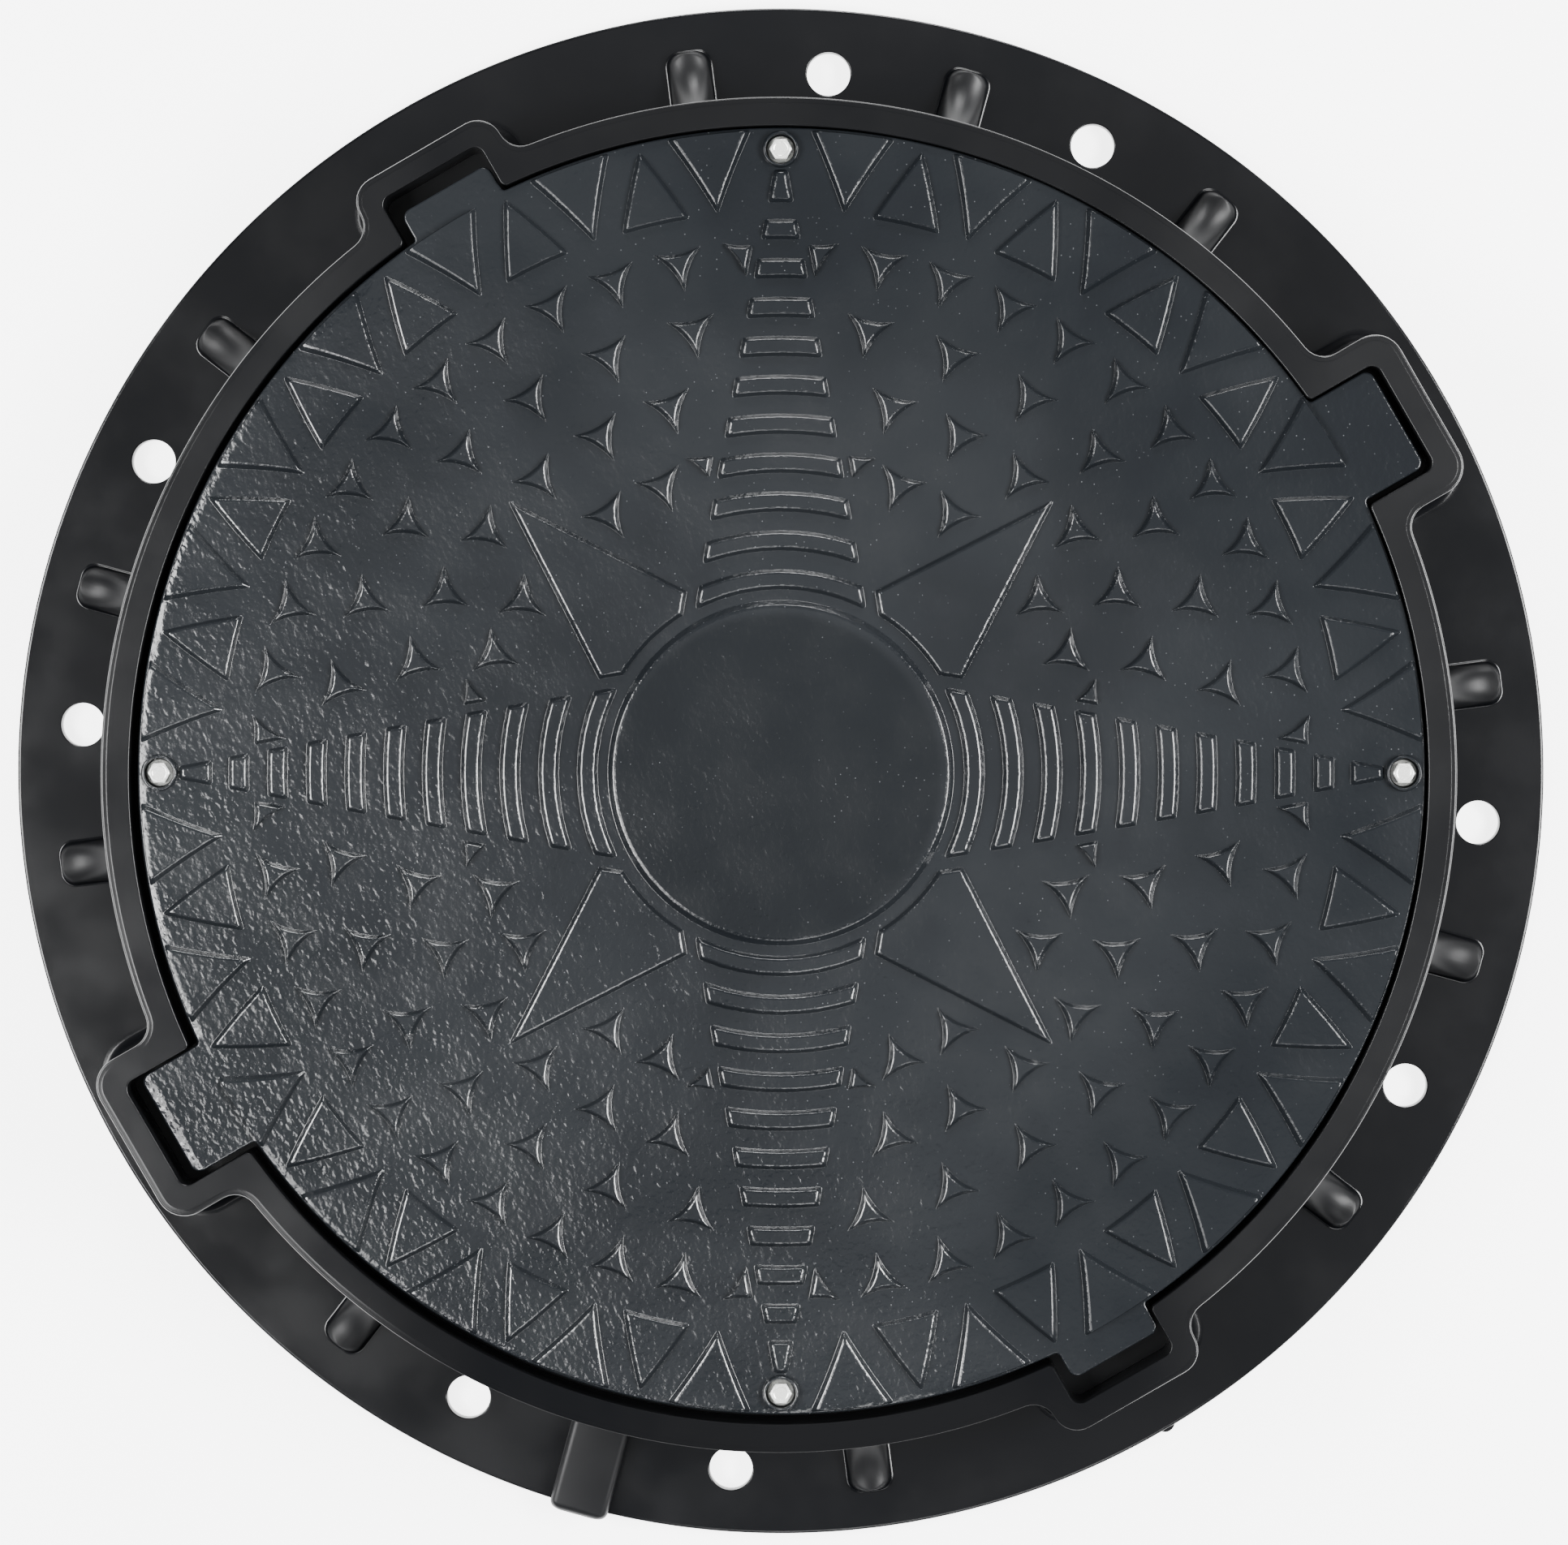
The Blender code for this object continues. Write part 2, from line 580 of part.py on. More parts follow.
def raise_pad(bm, outline):
    """Drafted pad on the plate; returns its base ring."""
    base, top = loft(bm, [(outline, PLATE_LEVEL), (inset_outline(outline, TREAD_DRAFT), FRAME_HEIGHT)])
    bm.faces.new(top)
    return base


def screw_place(bm, degrees):
    """Raised lip, counterbore and through hole of one screw; returns its top and bottom rings."""
    centre = polar(SCREW_CIRCLE_RADIUS, degrees)

    def ring(radius):
        return arc_points(centre, radius, 0.0, 360.0, HOLE_SIDES)[:-1]

    outer = ring(COUNTERBORE_RADIUS + LIP_WIDTH)
    hole = ring(SCREW_RADIUS + SCREW_HOLE_GAP)
    rings = loft(bm, [(outer, PLATE_LEVEL), (inset_outline(outer, TREAD_DRAFT / 2.0), FRAME_HEIGHT),
                      (ring(COUNTERBORE_RADIUS), FRAME_HEIGHT), (ring(COUNTERBORE_RADIUS), SCREW_SEAT_LEVEL),
                      (hole, SCREW_SEAT_LEVEL), (hole, LID_BOTTOM)])
    return rings[0], rings[-1]


def cell_outlines():
    """Pockets between the ring ribs and radial ribs under the lid."""
    rings = [LID_RADIUS * share for share in CELL_RING_SHARES]
    for rib_inside, rib_outside, count in zip(rings, rings[1:], CELL_COUNTS):
        inner, outer = rib_inside + CELL_RIB / 2.0, rib_outside - CELL_RIB / 2.0
        pitch = 360.0 / count
        half_inner = pitch / 2.0 - math.degrees(math.asin(CELL_RIB / 2.0 / inner))
        half_outer = pitch / 2.0 - math.degrees(math.asin(CELL_RIB / 2.0 / outer))
        cell = sector(inner, outer, half_inner, half_outer)
        for index in range(count):
            yield turned(cell, pitch * (index + 0.5))


def lid_mesh():
    """Lid moulding with its raised tread above and its open cells below."""
    bm = bmesh.new()
    edge = lid_outline()
    ear_bottom = PLATE_LEVEL - LID_EAR_THICKNESS
    body_radius = LID_RADIUS - LID_BODY_STEP
    side = loft(bm, [(round_outline(body_radius - LID_BODY_DRAFT, edge), LID_BOTTOM),
                     (round_outline(body_radius, edge), ear_bottom),
                     (edge, ear_bottom),
                     (edge, PLATE_LEVEL - LID_EDGE_CHAMFER),
                     (lid_outline(-LID_EDGE_CHAMFER), PLATE_LEVEL)])
    top_rings, bottom_rings = [side[-1]], [side[0]]
    for outlines in (tooth_outlines(), bar_outlines(), star_outlines(), kite_outlines(), [hub_outline()]):
        top_rings += [raise_pad(bm, outline) for outline in outlines]
    for quadrant in QUADRANTS:
        upper, lower = screw_place(bm, quadrant)
        top_rings.append(upper)
        bottom_rings.append(lower)
    for outline in cell_outlines():
        mouth, ceiling = loft(bm, [(outline, LID_BOTTOM), (inset_outline(outline, CELL_DRAFT), LID_CEILING)])
        bm.faces.new(ceiling)
        bottom_rings.append(mouth)
    fill_between(bm, top_rings)
    fill_between(bm, bottom_rings)
    return bm


def make_seal(material):
    """Flat rubber seal that lies on the seat inside the screw circle."""
    def ring(radius):
        return arc_points(Vector((0.0, 0.0)), radius, 0.0, 360.0, SEAL_SIDES)[:-1]

    bottom = SEAT_LEVEL + REST_GAP
    top = LID_BOTTOM - REST_GAP
    inner = CLEAR_OPENING_RADIUS + SEAL_SETBACK
    outer = inner + SEAL_WIDTH
    bm = bmesh.new()
    loft(bm, [(ring(outer), bottom), (ring(outer), top), (ring(inner), top), (ring(inner), bottom)], closed=True)
    return make_object("seal_ring", bm, material)


def hexagon(centre, across_flats):
    """Hexagon sampled at its corners and the middles of its flats."""
    flat = across_flats / 2.0
    corner = flat / math.cos(math.radians(30.0))
    return [centre + polar(corner if i % 2 == 0 else flat, 30.0 * i) for i in range(SCREW_SIDES)]


def make_screw(name, degrees, material):
    """Hexagon flange screw, from its tip up to the chamfered head."""
    centre = screw_centre(degrees)

    def ring(radius):
        return arc_points(centre, radius, 0.0, 360.0, SCREW_SIDES)[:-1]

    seat = SCREW_SEAT_LEVEL + REST_GAP
    tip = seat - SCREW_LENGTH
    head_top = seat + SCREW_HEAD_HEIGHT
    flange_top = seat + SCREW_FLANGE_THICKNESS
    flange_reach = SCREW_FLANGE_RADIUS - SCREW_HEX_ACROSS_FLATS / 2.0
    cone = flange_reach * math.tan(math.radians(SCREW_FLANGE_SLOPE))
    bm = bmesh.new()
    solid(bm, [(ring(SCREW_RADIUS - SCREW_TIP_CHAMFER), tip), (ring(SCREW_RADIUS), tip + SCREW_TIP_CHAMFER),
               (ring(SCREW_RADIUS), seat), (ring(SCREW_FLANGE_RADIUS), seat),
               (ring(SCREW_FLANGE_RADIUS), flange_top),
               (hexagon(centre, SCREW_HEX_ACROSS_FLATS), flange_top + cone),
               (hexagon(centre, SCREW_HEX_ACROSS_FLATS), head_top - SCREW_HEAD_CHAMFER),
               (ring(SCREW_HEX_ACROSS_FLATS / 2.0 - SCREW_HEAD_CHAMFER / 2.0), head_top)])
    return make_object(name, bm, material)


def make_insert(name, degrees, material):
    """Tube insert moulded into the seat, flush with it."""
    centre = screw_centre(degrees)

    def ring(radius):
        return arc_points(centre, radius, 0.0, 360.0, SCREW_SIDES)[:-1]

    bore = SCREW_RADIUS + REST_GAP
    bm = bmesh.new()
    loft(bm, [(ring(INSERT_RADIUS), SEAT_LEVEL - INSERT_LENGTH), (ring(INSERT_RADIUS), SEAT_LEVEL),
              (ring(bore), SEAT_LEVEL), (ring(bore), SEAT_LEVEL - INSERT_LENGTH)], closed=True)
    return make_object(name, bm, material)


def build():
    """Clear the scene and model every piece of the cover."""
    for old in list(bpy.data.objects):
        bpy.data.objects.remove(old, do_unlink=True)
    frame_plastic = make_material("frame_black_plastic", (0.016, 0.018, 0.020), 0.42, 0.0)
    lid_plastic = make_material("lid_charcoal_plastic", (0.026, 0.034, 0.040), 0.38, 0.0)
    rubber = make_material("seal_rubber", (0.012, 0.012, 0.012), 0.8, 0.0)
    zinc = make_material("screw_zinc", (0.62, 0.63, 0.64), 0.32, 1.0)
    brass = make_material("insert_brass", (0.60, 0.42, 0.18), 0.35, 1.0)
    make_frame(frame_plastic)
    lid = make_object("lid", lid_mesh(), lid_plastic)
    lid.location = (LID_CENTRE.x, LID_CENTRE.y, 0.0)
    make_seal(rubber)
    for side, direction in COMPASS.items():
        make_screw("screw_" + side, direction, zinc)
        make_insert("insert_" + side, direction, brass)


build()
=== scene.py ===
"""Looks of a round plastic manhole cover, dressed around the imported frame.

The frame moulding, the lid moulding, the seal, the screws and the inserts are surfaces
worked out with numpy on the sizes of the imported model. North is +Y, east is +X, and every
piece rides on the one body of the row.
"""
from __future__ import annotations

import logging
import math
from dataclasses import dataclass, field
from enum import Enum

import bpy
import numpy as np
from mathutils import Matrix, Vector
from mathutils.geometry import delaunay_2d_cdt

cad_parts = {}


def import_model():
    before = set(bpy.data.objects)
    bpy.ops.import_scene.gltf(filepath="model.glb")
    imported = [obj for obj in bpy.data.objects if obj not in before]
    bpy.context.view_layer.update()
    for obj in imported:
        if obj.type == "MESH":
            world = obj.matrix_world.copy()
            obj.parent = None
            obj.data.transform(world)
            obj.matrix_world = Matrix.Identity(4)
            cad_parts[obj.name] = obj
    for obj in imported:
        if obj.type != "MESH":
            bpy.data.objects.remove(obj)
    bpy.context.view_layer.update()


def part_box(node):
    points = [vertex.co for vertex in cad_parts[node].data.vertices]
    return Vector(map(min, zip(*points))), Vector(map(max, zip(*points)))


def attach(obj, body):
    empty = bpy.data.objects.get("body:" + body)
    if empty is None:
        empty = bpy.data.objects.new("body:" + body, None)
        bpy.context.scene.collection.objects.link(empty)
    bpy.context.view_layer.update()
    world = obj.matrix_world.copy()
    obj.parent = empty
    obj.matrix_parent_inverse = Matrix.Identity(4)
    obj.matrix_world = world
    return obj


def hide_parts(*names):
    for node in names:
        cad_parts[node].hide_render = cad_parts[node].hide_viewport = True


LOG = logging.getLogger("manhole_cover")
MM = 0.001
BODY = "root"
QUADRANTS = (0.0, 90.0, 180.0, 270.0)
COMPASS = ("east", "north", "west", "south")
EAST, NORTH, UP = (1.0, 0.0, 0.0), (0.0, 1.0, 0.0), (0.0, 0.0, 1.0)
Socket = bpy.types.NodeSocket
Triple = tuple[float, float, float]


def directions(degrees: np.ndarray | float) -> np.ndarray:
    """Unit vectors for directions counted from east, in degrees."""
    angle = np.radians(degrees)
    return np.stack([np.cos(angle), np.sin(angle)], axis=-1)


def turned(points: np.ndarray, degrees: float) -> np.ndarray:
    """Plan points turned about the origin: x and y become their turned sums of cosine and sine.

    Args:
        points: plan points in the last axis.
        degrees: turn, counterclockwise.
    Returns:
        The turned points, in the same shape.
    """
    east, north = directions(degrees), directions(degrees + 90.0)
    return points[..., :1] * east + points[..., 1:2] * north


def arc(centre: tuple[float, float], radius: float, start: float, end: float, steps: int) -> np.ndarray:
    """Arc as centre plus radius times a direction that goes evenly from start to end.

    Args:
        centre: plan place of the arc's centre.
        radius: its radius.
        start: first direction in degrees.
        end: last direction in degrees.
        steps: number of chords.
    Returns:
        The points, both ends included.
    """
    return np.asarray(centre) + radius * directions(np.linspace(start, end, steps + 1))


def circle(radius: float, sides: int, centre: tuple[float, float] = (0.0, 0.0)) -> np.ndarray:
    """Closed circle of even sides."""
    return arc(centre, radius, 0.0, 360.0, sides)[:-1]


def lifted(points: np.ndarray, level: float | np.ndarray) -> np.ndarray:
    """Plan points given a height."""
    height = np.broadcast_to(level, points.shape[:-1])
    return np.concatenate([points, height[..., None]], axis=-1)


def inset(corners: np.ndarray, distance: float) -> np.ndarray:
    """Polygon moved inwards: each corner slides along its bisector by distance over the bisector's reach.

    Args:
        corners: corners in counterclockwise order.
        distance: how far each side moves inwards.
    Returns:
        The moved corners.
    """
    after = np.roll(corners, -1, axis=0) - corners
    after /= np.linalg.norm(after, axis=1, keepdims=True)
    before = np.roll(after, 1, axis=0)
    bisector = np.stack([-before[:, 1] - after[:, 1], before[:, 0] + after[:, 0]], axis=1)
    return corners + bisector * (2.0 * distance / (bisector ** 2).sum(axis=1, keepdims=True))


def parabola(first: np.ndarray, control: np.ndarray, last: np.ndarray, shares: np.ndarray) -> np.ndarray:
    """Parabolas from first to last, tangent there to the lines through control, at shares of the run."""
    t = shares[None, :, None]
    return (1.0 - t) ** 2 * first[:, None] + 2.0 * t * (1.0 - t) * control[:, None] + t ** 2 * last[:, None]


def rounded(corners: np.ndarray, radius: float, bend_steps: int, side_steps: int) -> np.ndarray:
    """Polygon with each corner rounded by a parabola tangent to its two sides.

    The tangent points lie radius over the tangent of the half angle from the corner, and at
    most 0.45 of the shorter side.

    Args:
        corners: corners in counterclockwise order.
        radius: corner radius.
        bend_steps: chords in each bend.
        side_steps: chords in each straight side.
    Returns:
        One closed outline of evenly built stretches.
    """
    to_next = np.roll(corners, -1, axis=0) - corners
    length_next = np.linalg.norm(to_next, axis=1)
    length_before = np.roll(length_next, 1)
    ahead = to_next / length_next[:, None]
    back = -np.roll(ahead, 1, axis=0)
    cosine = np.clip((ahead * back).sum(axis=1), -1.0, 1.0)
    reach = radius / np.tan(np.arccos(cosine) / 2.0)
    reach = np.minimum(reach, 0.45 * np.minimum(length_next, length_before))[:, None]
    first, last = corners + back * reach, corners + ahead * reach
    bends = parabola(first, corners, last, np.linspace(0.0, 1.0, bend_steps + 1))
    s = (np.arange(1, side_steps) / side_steps)[None, :, None]
    sides = last[:, None] * (1.0 - s) + np.roll(first, -1, axis=0)[:, None] * s
    return np.concatenate([bends, sides], axis=1).reshape(-1, 2)


def plan_centre(low: Vector, high: Vector) -> np.ndarray:
    """Middle of a box in plan, at level 0."""
    return np.array([(low.x + high.x) / 2.0, (low.y + high.y) / 2.0, 0.0])


def wrapped(chart: np.ndarray, reference: float) -> np.ndarray:
    """Chart of (radius, arc length at the reference radius) bent round the origin."""
    angle = chart[..., 1] / reference
    return np.stack([chart[..., 0] * np.cos(angle), chart[..., 0] * np.sin(angle)], axis=-1)


@dataclass
class Skin:
    """Surface of one piece, gathered as whole arrays of points and faces.

    Args:
        points: blocks of points.
        faces: blocks of faces with equal corner counts.
        creases: blocks of edges that stay sharp.
        count: number of points so far.
    """

    points: list[np.ndarray] = field(default_factory=list)
    faces: list[np.ndarray] = field(default_factory=list)
    creases: list[np.ndarray] = field(default_factory=list)
    count: int = 0

    def add(self, points: np.ndarray) -> np.ndarray:
        """Store points and return their numbers in the same layout."""
        flat = points.reshape(-1, 3)
        numbers = np.arange(self.count, self.count + len(flat)).reshape(points.shape[:-1])
        self.points.append(flat)
        self.count += len(flat)
        return numbers

    def bridge(self, lower: np.ndarray, upper: np.ndarray) -> None:
        """Band of quads between closed rings; any leading axes hold separate pairs of rings."""
        ahead_lower, ahead_upper = np.roll(lower, -1, axis=-1), np.roll(upper, -1, axis=-1)
        self.faces.append(np.stack([lower, ahead_lower, ahead_upper, upper], axis=-1).reshape(-1, 4))

    def loft(self, rings: np.ndarray, closed: bool = False) -> np.ndarray:
        """Skin through rings laid out as (..., ring, point, xyz).

        Args:
            rings: the rings' points.
            closed: whether the last ring joins the first.
        Returns:
            The numbers of the points, as (..., ring, point).
        """
        numbers = self.add(rings)
        self.bridge(numbers[..., :-1, :], numbers[..., 1:, :])
        if closed:
            self.bridge(numbers[..., -1, :], numbers[..., 0, :])
        return numbers

    def spin(self, profile: list[tuple[float, float]], sides: int, centre: tuple[float, float]) -> np.ndarray:
        """Loft of circles round an upright axis, from a profile of radius and level."""
        return self.loft(np.stack([lifted(circle(radius, sides, centre), level)
                                   for radius, level in profile]))

    def closed(self, numbers: np.ndarray, sharp: bool = True) -> np.ndarray:
        """A loft with a flat face on its first ring, which is the lowest, and on its last."""
        self.cap(numbers[0], False)
        self.cap(numbers[-1], True, sharp)
        return numbers

    def cap(self, rings: np.ndarray, upwards: bool, sharp: bool = True) -> None:
        """One flat face on each ring; the rings run counterclockwise seen from above."""
        rings = rings.reshape(-1, rings.shape[-1])
        self.faces.append(rings if upwards else rings[:, ::-1])
        if sharp:
            self.crease(rings)

    def crease(self, rings: np.ndarray) -> None:
        """Keep the edges of rings sharp, so that flat ground beside a curve shades flat."""
        rings = rings.reshape(-1, rings.shape[-1])
        self.creases.append(np.stack([rings, np.roll(rings, -1, axis=1)], axis=-1).reshape(-1, 2))

    def fill(self, outer: np.ndarray, holes: list[np.ndarray], upwards: bool) -> None:
        """Flat ground between an outer ring and its holes, by constrained Delaunay triangles.

        All rings run counterclockwise. A triangle with its three corners on one ring lies inside
        that ring where its corners come in the ring's order, and outside it otherwise: inside
        ones are dropped for a hole, outside ones for the outer ring.

        Args:
            outer: numbers of the outer ring.
            holes: numbers of each hole's ring.
            upwards: whether the ground faces up.
        """
        cloud = np.concatenate(self.points)
        rings = [outer, *holes]
        sizes = np.array([len(ring) for ring in rings])
        numbers = np.concatenate(rings)
        owner = np.repeat(np.arange(len(rings)), sizes)
        starts = np.cumsum(sizes) - sizes
        index = np.arange(len(numbers))
        following = starts[owner] + (index - starts[owner] + 1) % sizes[owner]
        edges = np.stack([index, following], axis=1).tolist()
        result = delaunay_2d_cdt([Vector(p) for p in cloud[numbers, :2]], edges, [], 1, 1e-9, True)
        if not all(result[3]):
            raise ValueError("two rings of a flat ground cross near %s mm" % [
                [round(1000.0 * value, 1) for value in result[0][index]]
                for index, sources in enumerate(result[3]) if not sources][:8])
        triangles = np.array([sources[0] for sources in result[3]])[np.array(result[2])]
        owners = owner[triangles]
        turn = (triangles - triangles[:, :1]) % sizes[owners[:, 0]][:, None]
        in_order = turn[:, 1] < turn[:, 2]
        same = (owners == owners[:, :1]).all(axis=1)
        keep = ~same | (in_order == (owners[:, 0] == 0))
        faces = numbers[triangles[keep]]
        self.faces.append(faces if upwards else faces[:, ::-1])
        for ring in rings:
            self.crease(ring)

    def piece(self, name: str, material: bpy.types.Material, slot: str, *nodes: str) -> bpy.types.Object:
        """Make the object, smooth but for its creases, and let it stand for CAD nodes.

        Args:
            name: the piece's name.
            material: its finish.
            slot: not used.
            nodes: the CAD nodes that it replaces.
        Returns:
            The new object, at the origin.
        """
        mesh = bpy.data.meshes.new(name)
        polygons = [face for block in self.faces for face in block.tolist()]
        mesh.from_pydata(np.concatenate(self.points).tolist(), [], polygons)
        mesh.validate()
        mesh.shade_smooth()
        if self.creases:
            self._mark_sharp(mesh)
        mesh.materials.append(material)
        made = bpy.data.objects.new(name, mesh)
        bpy.context.scene.collection.objects.link(made)
        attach(made, BODY)
        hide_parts(*nodes)
        LOG.info("%s: %d points, %d faces", name, len(mesh.vertices), len(mesh.polygons))
        return made

    def move(self, centre: Vector) -> None:
        """Shift all points in plan, from the origin to a centre."""
        for block in self.points:
            block[:, :2] += (centre.x, centre.y)

    def _mark_sharp(self, mesh: bpy.types.Mesh) -> None:
        """Set the sharp flag on every edge that is listed as a crease."""
        ends = np.empty(2 * len(mesh.edges), dtype=np.int64)
        mesh.edges.foreach_get("vertices", ends)
        ends = np.sort(ends.reshape(-1, 2), axis=1)
        wanted = np.sort(np.concatenate(self.creases), axis=1)
        flags = np.isin(ends[:, 0] * self.count + ends[:, 1], wanted[:, 0] * self.count + wanted[:, 1])
        layer = mesh.attributes.get("sharp_edge") or mesh.attributes.new("sharp_edge", 'BOOLEAN', 'EDGE')
        layer.data.foreach_set("value", flags)


class NodeKit:
    """Small helper that lays out a material's nodes."""

    def __init__(self, name: str) -> None:
        """Start a material with its shader and object coordinates."""
        self.material = bpy.data.materials.new(name)
        self.material.use_nodes = True
        self.tree = self.material.node_tree
        self.shader = self.tree.nodes["Principled BSDF"]
        self.place = self.node("TexCoord").outputs["Object"]

    def node(self, kind: str) -> bpy.types.Node:
        """New shader node of a kind."""
        return self.tree.nodes.new("ShaderNode" + kind)

    def feed(self, target: Socket, source: Socket | float | tuple[float, ...]) -> None:
        """Link a socket to an input, or set a number, vector or colour on it."""
        if isinstance(source, Socket):
            self.tree.links.new(source, target)
        else:
            target.default_value = source

    def dress(self, key: str, source: Socket) -> None:
        """Link a socket to one of the shader's inputs."""
        self.feed(self.shader.inputs[key], source)

    def stretched(self, degrees: float, ratio: float) -> Socket:
        """Object coordinates in which marks come out longer along a direction.

        Args:
            degrees: direction of the marks in plan, from east.
            ratio: how many times longer than wide they are.
        Returns:
            The coordinates.
        """
        node = self.node("Mapping")
        node.vector_type = 'TEXTURE'
        self.feed(node.inputs["Rotation"], (0.0, 0.0, math.radians(degrees)))
        self.feed(node.inputs["Scale"], (ratio, 1.0, 1.0))
        self.feed(node.inputs["Vector"], self.place)
        return node.outputs["Vector"]

    def noise(self, scale: float, detail: float, roughness: float = 0.5, distortion: float = 0.0,
              place: Socket | None = None) -> Socket:
        """Noise over object coordinates, or over others; scale counts features in a metre."""
        node = self.node("TexNoise")
        values = {"Scale": scale, "Detail": detail, "Roughness": roughness, "Distortion": distortion,
                  "Vector": place or self.place}
        for key, value in values.items():
            self.feed(node.inputs[key], value)
        return node.outputs["Fac"]

    def cells(self, scale: float) -> Socket:
        """Distance to the nearest of scattered points; scale counts points in a metre."""
        node = self.node("TexVoronoi")
        self.feed(node.inputs["Scale"], scale)
        self.feed(node.inputs["Vector"], self.place)
        return node.outputs["Distance"]

    def remap(self, value: Socket, low: float, high: float, to_low: float, to_high: float) -> Socket:
        """Smooth change of range from (low, high) to (to_low, to_high)."""
        node = self.node("MapRange")
        node.interpolation_type = 'SMOOTHSTEP'
        values = {"Value": value, "From Min": low, "From Max": high, "To Min": to_low, "To Max": to_high}
        for key, number in values.items():
            self.feed(node.inputs[key], number)
        return node.outputs["Result"]

    def varied(self, scale: float, detail: float, low: float, high: float) -> Socket:
        """Noise that swings softly between two values."""
        return self.remap(self.noise(scale, detail), 0.3, 0.7, low, high)

    def maths(self, operation: str, first: Socket, second: Socket | float) -> Socket:
        """Arithmetic of two values."""
        node = self.node("Math")
        node.operation = operation
        self.feed(node.inputs[0], first)
        self.feed(node.inputs[1], second)
        return node.outputs["Value"]

    def product(self, first: Socket, *others: Socket | float) -> Socket:
        """Values multiplied one after another."""
        for other in others:
            first = self.maths('MULTIPLY', first, other)
        return first

    def total(self, first: Socket, second: Socket) -> Socket:
        """Sum of two values."""
        return self.maths('ADD', first, second)

    def vector_maths(self, operation: str, first: Socket, second: Triple | None = None) -> bpy.types.Node:
        """Arithmetic of one or two vectors."""
        node = self.node("VectorMath")
        node.operation = operation
        self.feed(node.inputs[0], first)
        if second is not None:
            self.feed(node.inputs[1], second)
        return node

    def along(self, direction: Triple) -> Socket:
        """Distance from the origin along a direction, in metres."""
        return self.vector_maths('DOT_PRODUCT', self.place, direction).outputs["Value"]

    def levelness(self) -> Socket:
        """Upward part of the surface's own normal: 1 where it lies level."""
        normal = self.node("NewGeometry").outputs["Normal"]
        return self.vector_maths('DOT_PRODUCT', normal, UP).outputs["Value"]

    def radius(self) -> Socket:
        """Distance from the vertical axis, in metres."""
        flat = self.vector_maths('MULTIPLY', self.place, (1.0, 1.0, 0.0))
        return self.vector_maths('LENGTH', flat.outputs["Vector"]).outputs["Value"]

    def mix(self, factor: Socket, first: Socket | Triple, second: Triple) -> Socket:
        """Colour between two by a factor."""
        node = self.node("Mix")
        node.data_type = 'RGBA'
        self.feed(node.inputs["Factor"], factor)
        colours = [socket for socket in node.inputs if socket.type == 'RGBA']
        self.feed(colours[0], first if isinstance(first, Socket) else (*first, 1.0))
        self.feed(colours[1], (*second, 1.0))
        return [socket for socket in node.outputs if socket.type == 'RGBA'][0]

    def bump(self, height: Socket, depth: float, under: Socket | None = None) -> Socket:
        """Bump of a height in metres, laid over another normal if one is given."""
        node = self.node("Bump")
        self.feed(node.inputs["Strength"], 1.0)
        self.feed(node.inputs["Distance"], depth)
        self.feed(node.inputs["Height"], height)
        if under is not None:
            self.feed(node.inputs["Normal"], under)
        return node.outputs["Normal"]


